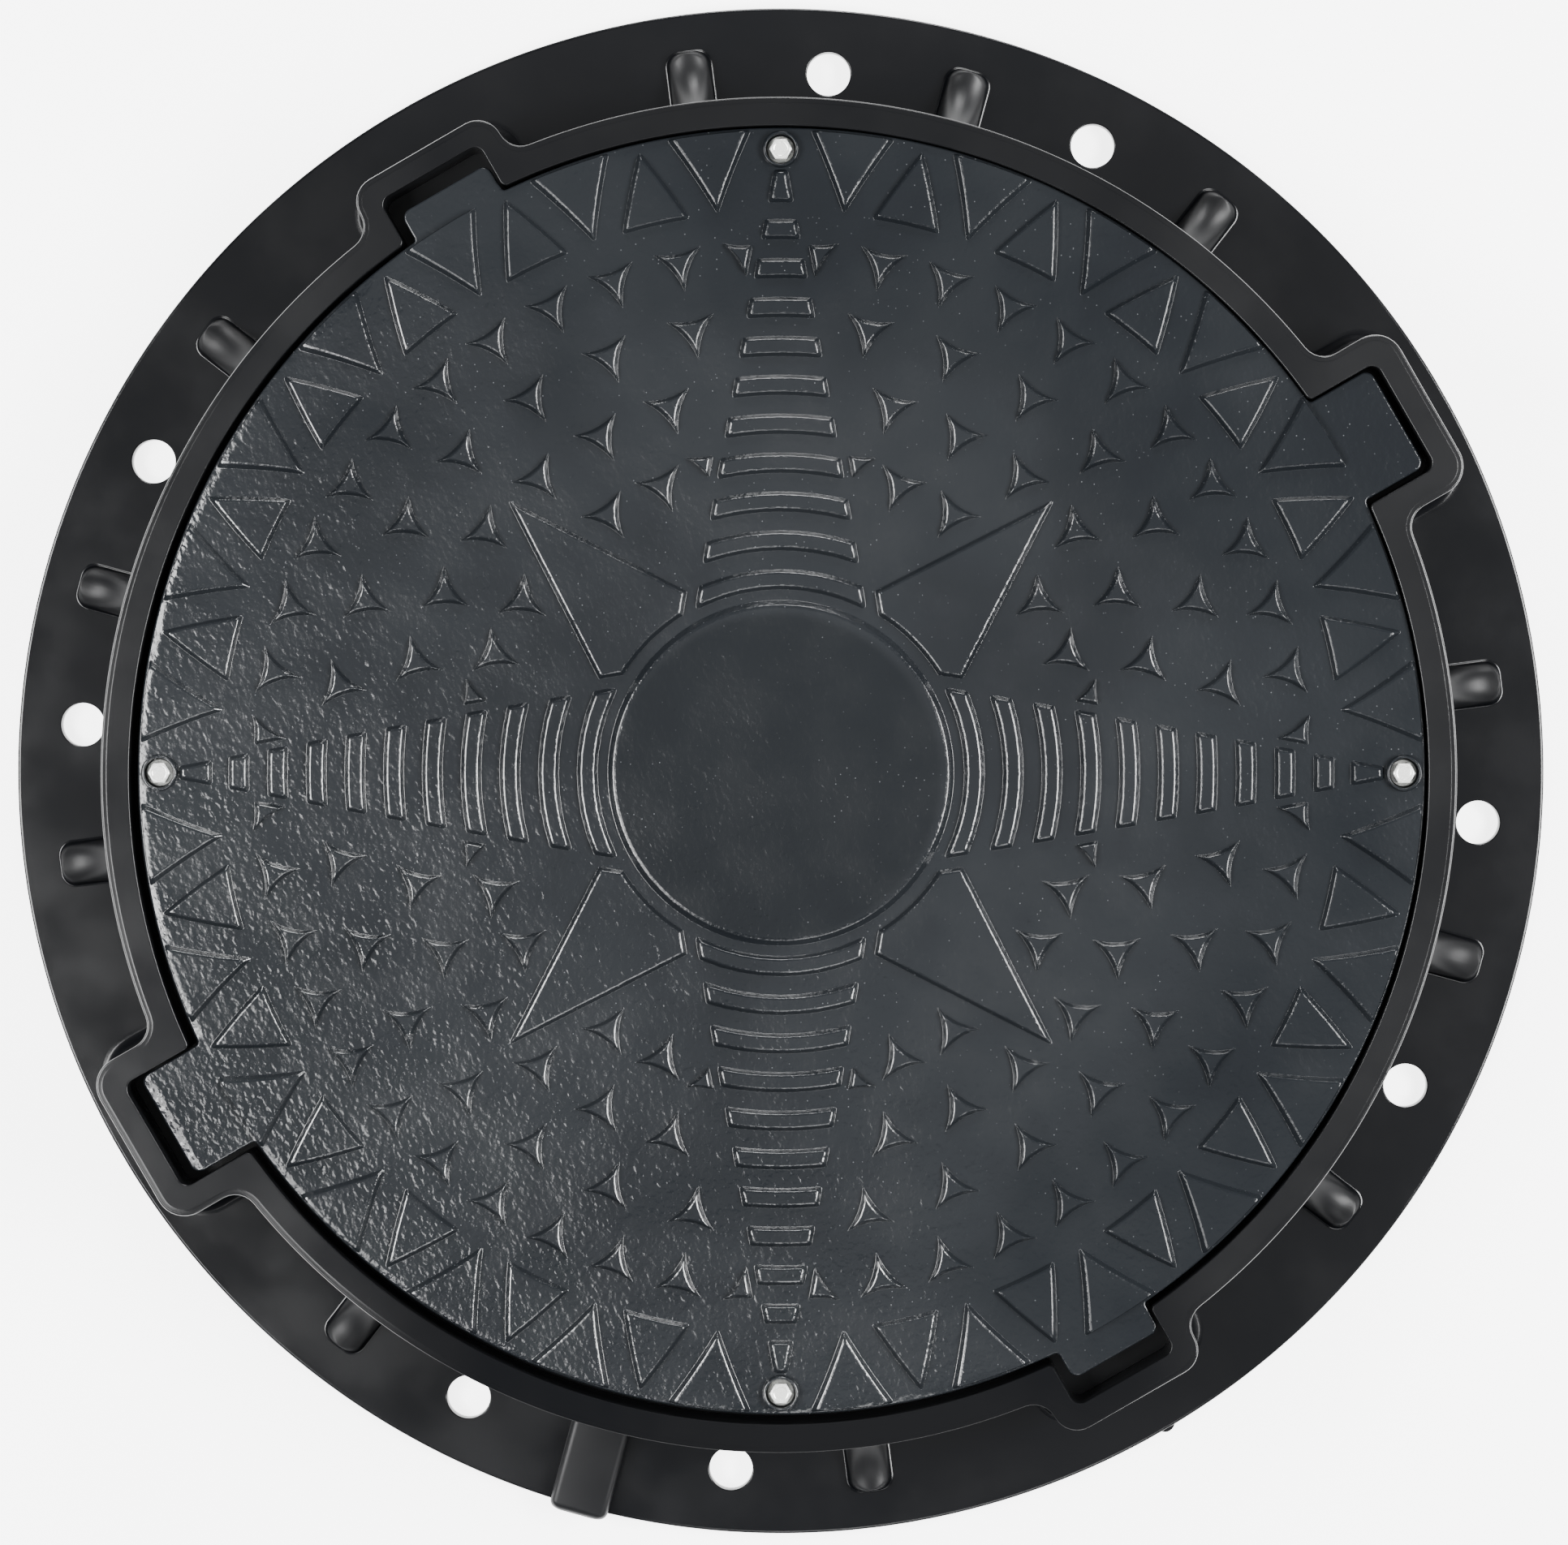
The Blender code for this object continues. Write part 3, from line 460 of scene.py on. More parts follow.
@dataclass(frozen=True)
class LidPlastic:
    """Charcoal moulded plastic, pebbled all over and streaked by flow marks in the south-west.

    Args:
        dark: colour in the hollows of the cloudiness.
        light: colour on its peaks.
        hub: colour mixed in on the plain field in the middle.
        dust: colour of the small specks.
        hub_radius: where the plain field starts to end, and where it has ended, in metres.
        gloss: lowest and highest roughness.
        pebble_depth: height of the fine pebbling in metres.
        swell_depth: height of the broad unevenness in metres.
        streak_depth: height of the flow marks in metres.
        streak_direction: direction in which they run, from east.
        roll_depth: fall of the worn edge in the south-west in metres.
        roll_radius: where the worn edge starts to fall, and where it ends, in metres.
        roll_reach: the same along the middle of the ear.
    """

    dark: Triple = (0.0078, 0.0092, 0.0111)
    light: Triple = (0.0117, 0.0134, 0.0155)
    hub: Triple = (0.0040, 0.0052, 0.0066)
    dust: Triple = (0.20, 0.21, 0.22)
    hub_radius: tuple[float, float] = (0.080, 0.086)
    gloss: tuple[float, float] = (0.17, 0.27)
    pebble_depth: float = 0.00026
    swell_depth: float = 0.0007
    streak_depth: float = 0.00058
    streak_direction: float = 112.0
    roll_depth: float = 0.0013
    roll_radius: tuple[float, float] = (0.3215, 0.3285)
    roll_reach: tuple[float, float] = (0.354, 0.3615)

    def _colour(self, kit: NodeKit) -> Socket:
        """Cloudy charcoal, darker in the middle, with specks of dust in patches."""
        cloud = kit.remap(kit.noise(9.0, 3.0), 0.35, 0.65, 0.0, 1.0)
        dust = kit.remap(kit.cells(240.0), 0.04, 0.10, 1.0, 0.0)
        patch = kit.remap(kit.noise(14.0, 2.0), 0.42, 0.60, 0.08, 0.45)
        hub = kit.remap(kit.radius(), *self.hub_radius, 0.7, 0.0)
        ground = kit.mix(hub, kit.mix(cloud, self.dark, self.light), self.hub)
        return kit.mix(kit.product(dust, patch), ground, self.dust)

    def _gleam(self, kit: NodeKit, zone: Socket, level: Socket) -> Socket:
        """Less gleam on the outer lid away from the south-west, more on the pads' flanks in it."""
        outer = kit.remap(kit.radius(), 0.16, 0.29, 0.0, 1.0)
        worn = kit.product(outer, kit.remap(zone, -0.06, 0.12, 1.0, 0.0))
        flank = kit.product(kit.remap(zone, 0.02, 0.16, 0.0, 1.0), kit.remap(level, 0.93, 0.99, 0.4, 0.0))
        return kit.total(kit.remap(worn, 0.0, 1.0, 0.60, 0.30), flank)

    def _flow_marks(self, kit: NodeKit, zone: Socket, level: Socket) -> Socket:
        """Flow marks, strongest in the south-west, weak in the east, and none on a flank."""
        patch = kit.remap(kit.noise(45.0, 2.0), 0.32, 0.62, 0.55, 1.0)
        east = kit.remap(kit.along((0.94, 0.34, 0.0)), 0.10, 0.24, 0.0, 0.3)
        strength = kit.product(kit.total(kit.remap(zone, -0.24, 0.36, 0.24, 1.0), east), patch,
                               kit.remap(level, 0.95, 0.992, 0.0, 1.0))
        streak = kit.noise(320.0, 1.0, 0.5, 0.2, kit.stretched(self.streak_direction, 1.3))
        return kit.product(streak, strength)

    def _worn_edge(self, kit: NodeKit, zone: Socket) -> Socket:
        """Fall at the lid's round edge, but not beside the ear, and at the ear's end."""
        across = kit.along((0.5, -0.866, 0.0))
        beside_ear = kit.remap(kit.product(across, across), 0.0008, 0.0012, 0.0, 1.0)
        round_edge = kit.product(kit.remap(kit.radius(), *self.roll_radius, 0.0, -1.0), beside_ear)
        ear_end = kit.remap(kit.along((-0.866, -0.5, 0.0)), *self.roll_reach, 0.0, -1.0)
        return kit.product(kit.total(round_edge, ear_end), kit.remap(zone, 0.02, 0.24, 0.0, 1.0))

    def material(self) -> bpy.types.Material:
        """Build the node material."""
        kit = NodeKit("lid_plastic")
        drift = kit.varied(12.0, 2.0, -0.08, 0.08)
        zone = kit.total(kit.along((-0.86, -0.51, 0.0)), drift)
        level = kit.levelness()
        kit.dress("Base Color", self._colour(kit))
        kit.dress("Roughness", kit.varied(26.0, 4.0, *self.gloss))
        kit.dress("Specular IOR Level", self._gleam(kit, zone, level))
        edge = kit.bump(self._worn_edge(kit, zone), self.roll_depth)
        swell = kit.bump(kit.noise(40.0, 2.0, 0.4, 0.6), self.swell_depth, edge)
        pebble = kit.bump(kit.noise(330.0, 2.0, 0.55), self.pebble_depth, swell)
        kit.dress("Normal", kit.bump(self._flow_marks(kit, zone, level), self.streak_depth, pebble))
        return kit.material


@dataclass(frozen=True)
class FramePlastic:
    """Near-black satin plastic with soft clouds of gloss and a fine grain.

    Args:
        dark: colour in the hollows of the cloudiness.
        light: colour on its peaks.
        grey_rim: lighter grey mixed in, in patches, towards the top of the rim.
        gloss: lowest and highest roughness.
        rib_roughness: roughness added on the ribs.
        gleams: specular level of the flange and the rim, and of the ribs.
        rib_foot: levels at which the ribs' finish starts and is whole, in metres.
        rib_end: levels at which it starts to end and has ended.
        grain_depth: height of the fine grain in metres.
        ripple_depth: height of the broad sink marks in metres.
    """

    dark: Triple = (0.0030, 0.0033, 0.0041)
    light: Triple = (0.0044, 0.0046, 0.0054)
    grey_rim: Triple = (0.0070, 0.0072, 0.0078)
    gloss: tuple[float, float] = (0.17, 0.27)
    rib_roughness: float = 0.24
    gleams: tuple[float, float] = (0.44, 0.28)
    rib_foot: tuple[float, float] = (0.0081, 0.0088)
    rib_end: tuple[float, float] = (0.050, 0.060)
    grain_depth: float = 0.00002
    ripple_depth: float = 0.00025

    def _colour(self, kit: NodeKit, height: Socket) -> Socket:
        """Cloudy black that turns patchily lighter grey towards the top of the rim."""
        cloud = kit.remap(kit.noise(7.0, 4.0, 0.55, 0.4), 0.35, 0.68, 0.0, 1.0)
        # lighter grey mixed in by height towards the rim's top, patchy by noise
        grey_rim = kit.product(kit.remap(height, 0.070, 0.0835, 0.0, 1.0),
                             kit.remap(kit.noise(11.0, 3.0), 0.3, 0.6, 0.5, 1.0))
        return kit.mix(grey_rim, kit.mix(cloud, self.dark, self.light), self.grey_rim)

    def _gleam(self, kit: NodeKit, height: Socket, rib: Socket) -> Socket:
        """Gleam that is dull on the rim's north and south arcs and at the ribs' feet."""
        across, ahead = kit.along(EAST), kit.along(NORTH)
        rim = kit.product(kit.remap(kit.product(across, across), 0.026, 0.060, 0.9, 0.0),
                          kit.remap(height, 0.076, 0.080, 0.0, 1.0), kit.remap(ahead, -0.1, 0.1, 1.0, 0.6))
        foot = kit.product(kit.remap(height, 0.0081, 0.0085, 0.0, 0.8),
                           kit.remap(height, 0.0105, 0.0130, 1.0, 0.0))
        north = kit.product(rib, kit.remap(ahead, 0.27, 0.33, 0.0, 0.18))
        gleam = kit.total(kit.remap(rib, 0.0, 1.0, *self.gleams), north)
        return kit.product(gleam, kit.remap(kit.total(rim, foot), 0.0, 1.0, 1.0, 0.0))

    def material(self) -> bpy.types.Material:
        """Build the node material."""
        kit = NodeKit("frame_plastic")
        height = kit.along(UP)
        rib = kit.product(kit.remap(height, *self.rib_foot, 0.0, 1.0),
                          kit.remap(height, *self.rib_end, 1.0, 0.0))
        roughness = kit.varied(22.0, 5.0, *self.gloss)
        kit.dress("Base Color", self._colour(kit, height))
        kit.dress("Roughness", kit.total(roughness, kit.product(rib, self.rib_roughness)))
        kit.dress("Specular IOR Level", self._gleam(kit, height, rib))
        ripple = kit.bump(kit.noise(16.0, 1.0), self.ripple_depth)
        kit.dress("Normal", kit.bump(kit.noise(900.0, 2.0), self.grain_depth, ripple))
        return kit.material


@dataclass(frozen=True)
class Metal:
    """Plated or plain metal with fine tool marks.

    Args:
        name: material name.
        dark: colour in the hollows.
        light: colour on the peaks.
        gloss: lowest and highest roughness.
        metallic: less than 1 for a plating that is milky.
    """

    name: str
    dark: Triple
    light: Triple
    gloss: tuple[float, float]
    metallic: float = 1.0

    def material(self) -> bpy.types.Material:
        """Build the node material."""
        kit = NodeKit(self.name)
        kit.dress("Base Color", kit.mix(kit.noise(500.0, 3.0), self.dark, self.light))
        kit.dress("Roughness", kit.varied(900.0, 3.0, *self.gloss))
        kit.dress("Normal", kit.bump(kit.noise(1500.0, 2.0), 0.00003))
        kit.feed(kit.shader.inputs["Metallic"], self.metallic)
        return kit.material


@dataclass(frozen=True)
class Rubber:
    """Dull black sealing rubber with a dusty bloom."""

    dark: Triple = (0.010, 0.010, 0.010)
    bloom: Triple = (0.022, 0.022, 0.023)

    def material(self) -> bpy.types.Material:
        """Build the node material."""
        kit = NodeKit("seal_rubber")
        kit.dress("Base Color", kit.mix(kit.noise(60.0, 4.0), self.dark, self.bloom))
        kit.dress("Roughness", kit.varied(120.0, 3.0, 0.65, 0.85))
        kit.dress("Normal", kit.bump(kit.noise(1200.0, 2.0), 0.00004))
        return kit.material


class Lug(Enum):
    """The two kinds of lug on the lid, in the order in which they come round."""

    EAR = "lifting ear"
    TAB = "prying tab"


@dataclass(frozen=True)
class LobedOutline:
    """Circle with ears and tabs in turn, such as the lid's edge or the recess round it.

    Args:
        radius: radius of the circle.
        half_widths: half width of each kind of lug.
        reaches: distance of each kind's flat end from the centre.
        corner: radius of the lug's outer corners.
        flare: radius of its root.
        first_angle: direction of the first ear.
        least_bend: smallest radius that a corner or root keeps when the outline is grown.
    """

    radius: float
    half_widths: dict[Lug, float]
    reaches: dict[Lug, float]
    corner: float
    flare: float
    first_angle: float = 30.0
    least_bend: float = 0.2 * MM
    corner_steps: int = 8
    flare_steps: int = 6
    side_steps: int = 4
    arc_steps: int = 110

    def _lug(self, kind: Lug, offset: float) -> tuple[np.ndarray, float]:
        """One lug on east: half its flat end, corner, side and root, then the same mirrored.

        The root's centre stands on the circle grown by the root radius, so that both of its
        ends are tangent.

        Args:
            kind: ear or tab.
            offset: how far the outline is grown.
        Returns:
            The points, and the direction at which the root meets the circle.
        """
        rim = self.radius + offset
        side = self.half_widths[kind] + offset
        end = self.reaches[kind] + offset
        root = max(self.flare - offset, self.least_bend)
        root_y = side + root
        root_x = math.sqrt((rim + root) ** 2 - root_y ** 2)
        bend = min(max(self.corner + offset, self.least_bend), end - root_x - 0.5 * MM)
        meeting = math.degrees(math.atan2(root_y, root_x))
        flat = np.linspace((end, 0.0), (end, side - bend), self.side_steps + 1)[1:-1]
        corner = arc((end - bend, side - bend), bend, 0.0, 90.0, self.corner_steps)
        flank = np.linspace((end - bend, side), (root_x, side), self.side_steps + 1)[1:-1]
        flare = arc((root_x, root_y), root, 270.0, 180.0 + meeting, self.flare_steps)
        upper = np.concatenate([flat, corner, flank, flare])
        return np.concatenate([upper[::-1] * (1.0, -1.0), upper]), meeting

    def points(self, offset: float = 0.0) -> np.ndarray:
        """The whole outline, grown by an offset, counterclockwise."""
        kinds = [Lug.EAR, Lug.TAB, Lug.EAR, Lug.TAB]
        lugs = [self._lug(kind, offset) for kind in kinds]
        stretches = []
        for index, (lug, meeting) in enumerate(lugs):
            direction = self.first_angle + 90.0 * index
            until = direction + 90.0 - lugs[(index + 1) % 4][1]
            stretches.append(turned(lug, direction))
            between = arc((0.0, 0.0), self.radius + offset, direction + meeting, until, self.arc_steps)
            stretches.append(between[1:-1])
        return np.concatenate(stretches)


def same_directions(outline: np.ndarray, radius: float) -> np.ndarray:
    """Circle whose points lie in the directions of an outline's points."""
    return outline / np.linalg.norm(outline, axis=1, keepdims=True) * radius


# Rows of stars in one quadrant: radius of the row in mm, and the stars' directions in degrees
STAR_ROWS = ((263.7, [3.75 + 7.5 * i for i in range(12)]), (229.0, [11.25 * i for i in range(1, 8)]),
             (194.1, [16.875 + 11.25 * i for i in range(6)]), (157.9, [22.5, 33.75, 56.25, 67.5]),
             (160.0, [12.6, 77.4]))

# Flank of a raised pad: share of its slope's width, share of its height
FLANK = np.array([(0.0, 0.0), (0.043, 0.007), (0.086, 0.04), (0.121, 0.09), (0.607, 0.817), (0.636, 0.85),
                  (0.671, 0.877), (0.804, 0.94), (1.0, 1.0)])


@dataclass
class FrameMoulding:
    """Ring frame: flange, neck with bulges, pockets, seat, gusset ribs and filling gate.

    Args:
        height: height of the rim above the bed.
        flange_radius: outside of the flange.
        screw_places: plan places of the screws.
    """

    height: float
    flange_radius: float
    screw_places: list[tuple[float, float]]
    flange_thickness: float = 8.0 * MM
    foot_fillet: float = 8.0 * MM
    recess_radius: float = 330.7 * MM
    rim_width: float = 14.6 * MM
    opening_radius: float = 300.0 * MM
    seat_depth: float = 31.0 * MM
    seat_thickness: float = 8.0 * MM
    skirt_wall: float = 7.0 * MM
    anchor_radius: float = 11.35 * MM
    anchor_circle: float = 366.5 * MM
    anchor_angles: tuple[float, ...] = (63.5, 86.0)
    insert_hole_radius: float = 4.8 * MM
    boss_radius: float = 7.6 * MM
    boss_depth: float = 16.0 * MM
    gusset_first: float = 7.3
    gusset_steps: tuple[float, ...] = (0.0, 45.0, 67.5)
    gusset_reach: float = 379.5 * MM
    gusset_width: float = 22.0 * MM
    gusset_toe: float = 8.0 * MM
    gusset_crest: float = 26.0 * MM
    gusset_blunt: float = 1.2 * MM
    gusset_corner: float = 8.0 * MM
    gusset_sweep: float = 1.9
    gate_angle: float = 254.7
    gate_width: float = 31.0 * MM
    gate_height: float = 9.0 * MM
    gate_overhang: float = 3.5 * MM
    gate_nose: float = 5.0 * MM
    gate_shoulder: float = 4.0 * MM
    nub_angle: float = 300.7
    nub_radius: float = 5.0 * MM
    stiffeners: int = 12
    stiffener_half_width: float = 2.5 * MM

    def recess(self) -> LobedOutline:
        """Inside of the neck and its pockets."""
        return LobedOutline(self.recess_radius, {Lug.EAR: 30.6 * MM, Lug.TAB: 29.0 * MM},
                            {Lug.EAR: 368.0 * MM, Lug.TAB: 354.7 * MM}, 5.5 * MM, 3.0 * MM)

    def neck(self) -> LobedOutline:
        """Outside of the neck and its bulges."""
        return LobedOutline(self.recess_radius + self.rim_width, {Lug.EAR: 44.9 * MM, Lug.TAB: 41.2 * MM},
                            {Lug.EAR: 382.3 * MM, Lug.TAB: 366.9 * MM}, 15.0 * MM, 12.0 * MM)

    def _outer_wall(self) -> np.ndarray:
        """Rings from the foot of the neck up to the inner edge of the rim.

        The foot is a quarter circle; the rim's outer edge is a round, a narrow flat and a
        low step, and its inner edge is one small round.

        Returns:
            Rings as (ring, point, xyz).
        """
        neck, recess = self.neck(), self.recess()
        foot = np.radians(np.linspace(0.0, 90.0, 9))
        offsets = list(self.foot_fillet * (1.0 - np.sin(foot)))
        levels = list(self.flange_thickness + self.foot_fillet * (1.0 - np.cos(foot)))
        edge = ((0.0, -5.4), (0.0, -1.4), (-0.045, -1.06), (-0.175, -0.75), (-0.38, -0.48), (-0.61, -0.3),
                (-0.86, -0.18), (-1.12, -0.113), (-1.3, -0.1), (-2.75, -0.1), (-2.85, -0.085), (-3.1, -0.015),
                (-3.25, 0.0), (-3.6, 0.0))
        offsets += [offset * MM for offset, _ in edge]
        levels += [self.height + drop * MM for _, drop in edge]
        rings = [lifted(neck.points(offset), level) for offset, level in zip(offsets, levels)]
        inner = ((1.1, 0.0), (0.75, 0.0), (0.42, -0.06), (0.18, -0.22), (0.05, -0.46),
                 (0.0, -0.8), (0.0, -1.2))
        rings += [lifted(recess.points(offset * MM), self.height + drop * MM) for offset, drop in inner]
        return np.stack(rings)

    def _below(self, recess: np.ndarray) -> tuple[np.ndarray, np.ndarray, np.ndarray]:
        """Rings under the seat.

        Args:
            recess: outline of the recess.
        Returns:
            The seat's soft inner edge; the rings down the skirt and up its back; and the two
            rings of the channel's outer wall.
        """
        seat = self.height - self.seat_depth
        ledge = seat - self.seat_thickness
        opening = same_directions(recess, self.opening_radius)
        soft = same_directions(recess, self.opening_radius + 0.8 * MM)
        back = same_directions(recess, self.opening_radius + self.skirt_wall)
        skirt = np.stack([lifted(opening, seat - 0.8 * MM), lifted(opening, 0.0), lifted(back, 0.0),
                          lifted(back, ledge)])
        return lifted(soft, seat), skirt, np.stack([lifted(recess, ledge), lifted(recess, 0.0)])

    def _holes(self, skin: Skin, centres: list[tuple[float, float]],
               profile: list[tuple[float, float]]) -> tuple[list[np.ndarray], list[np.ndarray]]:
        """Round holes, each turned from a profile that starts at its upper edge.

        Args:
            skin: the skin that takes them.
            centres: their plan places.
            profile: radius and level of each ring, from the top.
        Returns:
            The rings at the top and the rings at the bottom.
        """
        tops, bottoms = [], []
        for centre in centres:
            rings = skin.spin(profile, 48, centre)
            tops.append(rings[0])
            bottoms.append(rings[-1])
        return tops, bottoms

    def _gusset(self) -> np.ndarray:
        """Rings of a rib that sweeps up the neck, from its foot to its crest, along the x axis.

        Each ring is a strip in plan whose outer end is a blunt toe with round corners. The
        first rings flare out over the flange. Along the others half the width falls as the
        cosine of the section's angle, and the level rises as its sine times the crest. The
        crest falls from the rim to the toe with a power curve.

        Returns:
            Points as (ring, point, xyz).
        """
        start = self.recess_radius + self.rim_width - 4.0 * MM
        foot = np.array([(1.6, -0.02), (1.0, 0.06), (0.5, 0.3), (0.18, 0.8), (0.0, 1.8)]) * MM
        section = np.radians(np.linspace(16.0, 85.0, 15))
        half = np.concatenate([self.gusset_width / 2.0 + foot[:, 0],
                               self.gusset_width / 2.0 * np.cos(section)])
        end = self.gusset_reach + np.concatenate([foot[:, 0],
                                                  -self.gusset_blunt * (1.0 - np.cos(section))])
        corner = self.gusset_corner * half / half[0]
        along = np.linspace(0.0, 1.0, 26)[None] * (end - corner - start)[:, None] + start
        turn = np.radians(np.linspace(90.0, 0.0, 9))[None]
        bend = np.stack([(end - corner)[:, None] + corner[:, None] * np.cos(turn),
                         (half - corner)[:, None] + corner[:, None] * np.sin(turn)], axis=-1)
        side = np.stack([along[:, :-1], np.broadcast_to(half[:, None], (len(half), 25))], axis=-1)
        left = np.concatenate([side, bend], axis=1)
        ring = np.concatenate([left, left[:, ::-1] * (1.0, -1.0)], axis=1)
        share = np.clip((ring[..., 0] - start - 4.0 * MM) / (self.gusset_reach - start - 9.0 * MM), 0.0, 1.0)
        crest = self.gusset_toe + (self.gusset_crest - self.gusset_toe) * (1.0 - share) ** self.gusset_sweep
        rise = np.concatenate([np.broadcast_to(foot[:, 1:], (len(foot), ring.shape[1])),
                               crest[len(foot):] * np.sin(section)[:, None]])
        return lifted(ring[:, ::-1], rise[:, ::-1] + self.flange_thickness)

    def _add_gussets(self, skin: Skin) -> None:
        """Add every rib but the one whose place the filling gate takes, each with a small pin."""
        angles = [self.gusset_first + step + quadrant for quadrant in QUADRANTS for step in self.gusset_steps]
        angles = [angle for angle in angles if abs(angle - self.gate_angle) > 1.0]
        rings = self._gusset()
        base = rings[:1] - (0.0, 0.0, 2.0 * MM)
        rings = np.concatenate([base, rings])
        plans = np.stack([turned(rings[..., :2], angle) for angle in angles])
        rises = np.broadcast_to(rings[..., 2:], (*plans.shape[:-1], 1))
        numbers = skin.loft(np.concatenate([plans, rises], axis=-1))
        skin.cap(numbers[:, 0], False, sharp=False)
        left = numbers[:, -1]
        right = left[:, ::-1]
        middle = left.shape[1] // 2
        skin.faces.append(np.stack([left[:, :middle - 1], left[:, 1:middle], right[:, 1:middle],
                                    right[:, :middle - 1]], axis=-1).reshape(-1, 4))
        profile = ((2.9, -66.0), (2.9, -36.2), (2.75, -35.8), (2.3, -35.55), (1.6, -35.5))
        pin = [(radius * MM, self.height + drop * MM) for radius, drop in profile]
        for angle in angles:
            centre = tuple((self.recess_radius + self.rim_width + 1.2 * MM) * directions(angle))
            skin.closed(skin.spin(pin, 20, centre), sharp=False)

    def _add_gate(self, skin: Skin) -> None:
        """Flat-topped bar with round shoulders, from the neck to just past the flange's edge."""
        inner = self.recess_radius + self.rim_width / 2.0
        outer = self.flange_radius + self.gate_overhang
        nose = self.gate_nose
        stations = np.concatenate([np.linspace(inner, outer - nose, 8),
                                   outer - nose * (1.0 - np.sin(np.radians(np.linspace(15.0, 90.0, 6))))])
        closing = np.clip((stations - outer + nose) / nose, 0.0, 1.0)
        shrink = nose * (1.0 - np.sqrt(1.0 - closing ** 2 * 0.99))
        half = self.gate_width / 2.0 - shrink
        top = self.gate_height - shrink * 0.8
        turn = np.radians(np.linspace(0.0, 90.0, 7))
        across = half[:, None] - self.gate_shoulder * (1.0 - np.cos(turn))[None]
        level = top[:, None] - self.gate_shoulder * (1.0 - np.sin(turn))[None]
        floor = np.full((len(stations), 1), 1.0 * MM - self.flange_thickness)
        edge = half[:, None]
        plan = np.concatenate([edge, across, -across[:, ::-1], -edge], axis=1)
        rise = np.concatenate([floor, level, level[:, ::-1], floor], axis=1) + self.flange_thickness
        place = np.stack([np.broadcast_to(stations[:, None], plan.shape), plan], axis=-1)
        numbers = skin.add(lifted(turned(place, self.gate_angle), rise))
        skin.bridge(numbers[1:], numbers[:-1])
        skin.faces.append(numbers[:1])
        skin.faces.append(numbers[-1:, ::-1])

    def _add_nub(self, skin: Skin) -> None:
        """Small ejector mark that stands proud of the flange's edge."""
        outline = arc((self.flange_radius - 3.0 * MM, 0.0), self.nub_radius, -100.0, 100.0, 14)
        place = turned(outline, self.nub_angle)
        skin.closed(skin.loft(np.stack([lifted(place, level) for level in (2.0 * MM, 5.6 * MM)])))

    def _add_hidden(self, skin: Skin) -> None:
        """Stiffeners in the channel under the seat."""
        ledge = self.height - self.seat_depth - self.seat_thickness
        inner, outer = self.opening_radius + self.skirt_wall - 2.0 * MM, self.recess_radius + 2.0 * MM
        half = self.stiffener_half_width
        box = np.array([(inner, -half), (outer, -half), (outer, half), (inner, half)])
        for index in range(self.stiffeners):
            place = turned(box, 360.0 / self.stiffeners * (index + 0.5))
            rings = np.stack([lifted(place, 2.0 * MM), lifted(place, ledge + 1.0 * MM)])
            skin.creases.append(np.stack(list(skin.closed(skin.loft(rings))), axis=-1))

    def build(self, material: bpy.types.Material) -> bpy.types.Object:
        """Make the moulding's surface and hand it over in its finish."""
        skin = Skin()
        wall = skin.loft(self._outer_wall())
        guide = self.neck().points()
        edge_profile = ((-1.5, 8.0), (-0.9, 7.9), (-0.35, 7.6), (-0.07, 7.2), (0.0, 6.6), (0.0, 1.2),
                        (-0.35, 0.35), (-1.2, 0.0))
        edge = skin.add(np.stack([lifted(same_directions(guide, self.flange_radius + reach * MM), level * MM)
                                  for reach, level in edge_profile]))
        skin.bridge(edge[1:], edge[:-1])
        anchors = [tuple(self.anchor_circle * directions(quadrant + angle))
                   for quadrant in QUADRANTS for angle in self.anchor_angles]
        eased_edge = ((0.6, 0.0), (0.18, 0.18), (0.0, 0.6))
        anchor = [(self.anchor_radius + gap * MM, self.flange_thickness - drop * MM)
                  for gap, drop in eased_edge]
        tops, bottoms = self._holes(skin, anchors, [*anchor, (self.anchor_radius, 0.0)])
        skin.fill(edge[0], [wall[0], *tops], upwards=True)
        recess = self.recess().points()
        soft, skirt, channel = self._below(recess)
        seat = self.height - self.seat_depth
        seat_outer, seat_inner = skin.add(lifted(recess, seat)), skin.add(soft)
        skin.bridge(wall[-1], seat_outer)
        lower = skin.loft(skirt)
        skin.bridge(seat_inner, lower[0])
        skin.crease(lower[1:])
        outside = skin.loft(channel)
        boss = [(self.insert_hole_radius + 0.2 * MM, seat), (self.insert_hole_radius, seat - 0.2 * MM),
                (self.insert_hole_radius, seat - self.boss_depth), (self.boss_radius, seat - self.boss_depth),
                (self.boss_radius, seat - self.seat_thickness)]
        screws, roots = self._holes(skin, self.screw_places, boss)
        skin.fill(seat_outer, [seat_inner, *screws], upwards=True)
        skin.fill(outside[0], [lower[-1], *roots], upwards=False)
        skin.fill(edge[-1], [outside[-1], *bottoms], upwards=False)
        self._add_gussets(skin)
        self._add_gate(skin)
        self._add_nub(skin)
        self._add_hidden(skin)
        return skin.piece("frame_moulding", material, "frame_plastic", "frame")


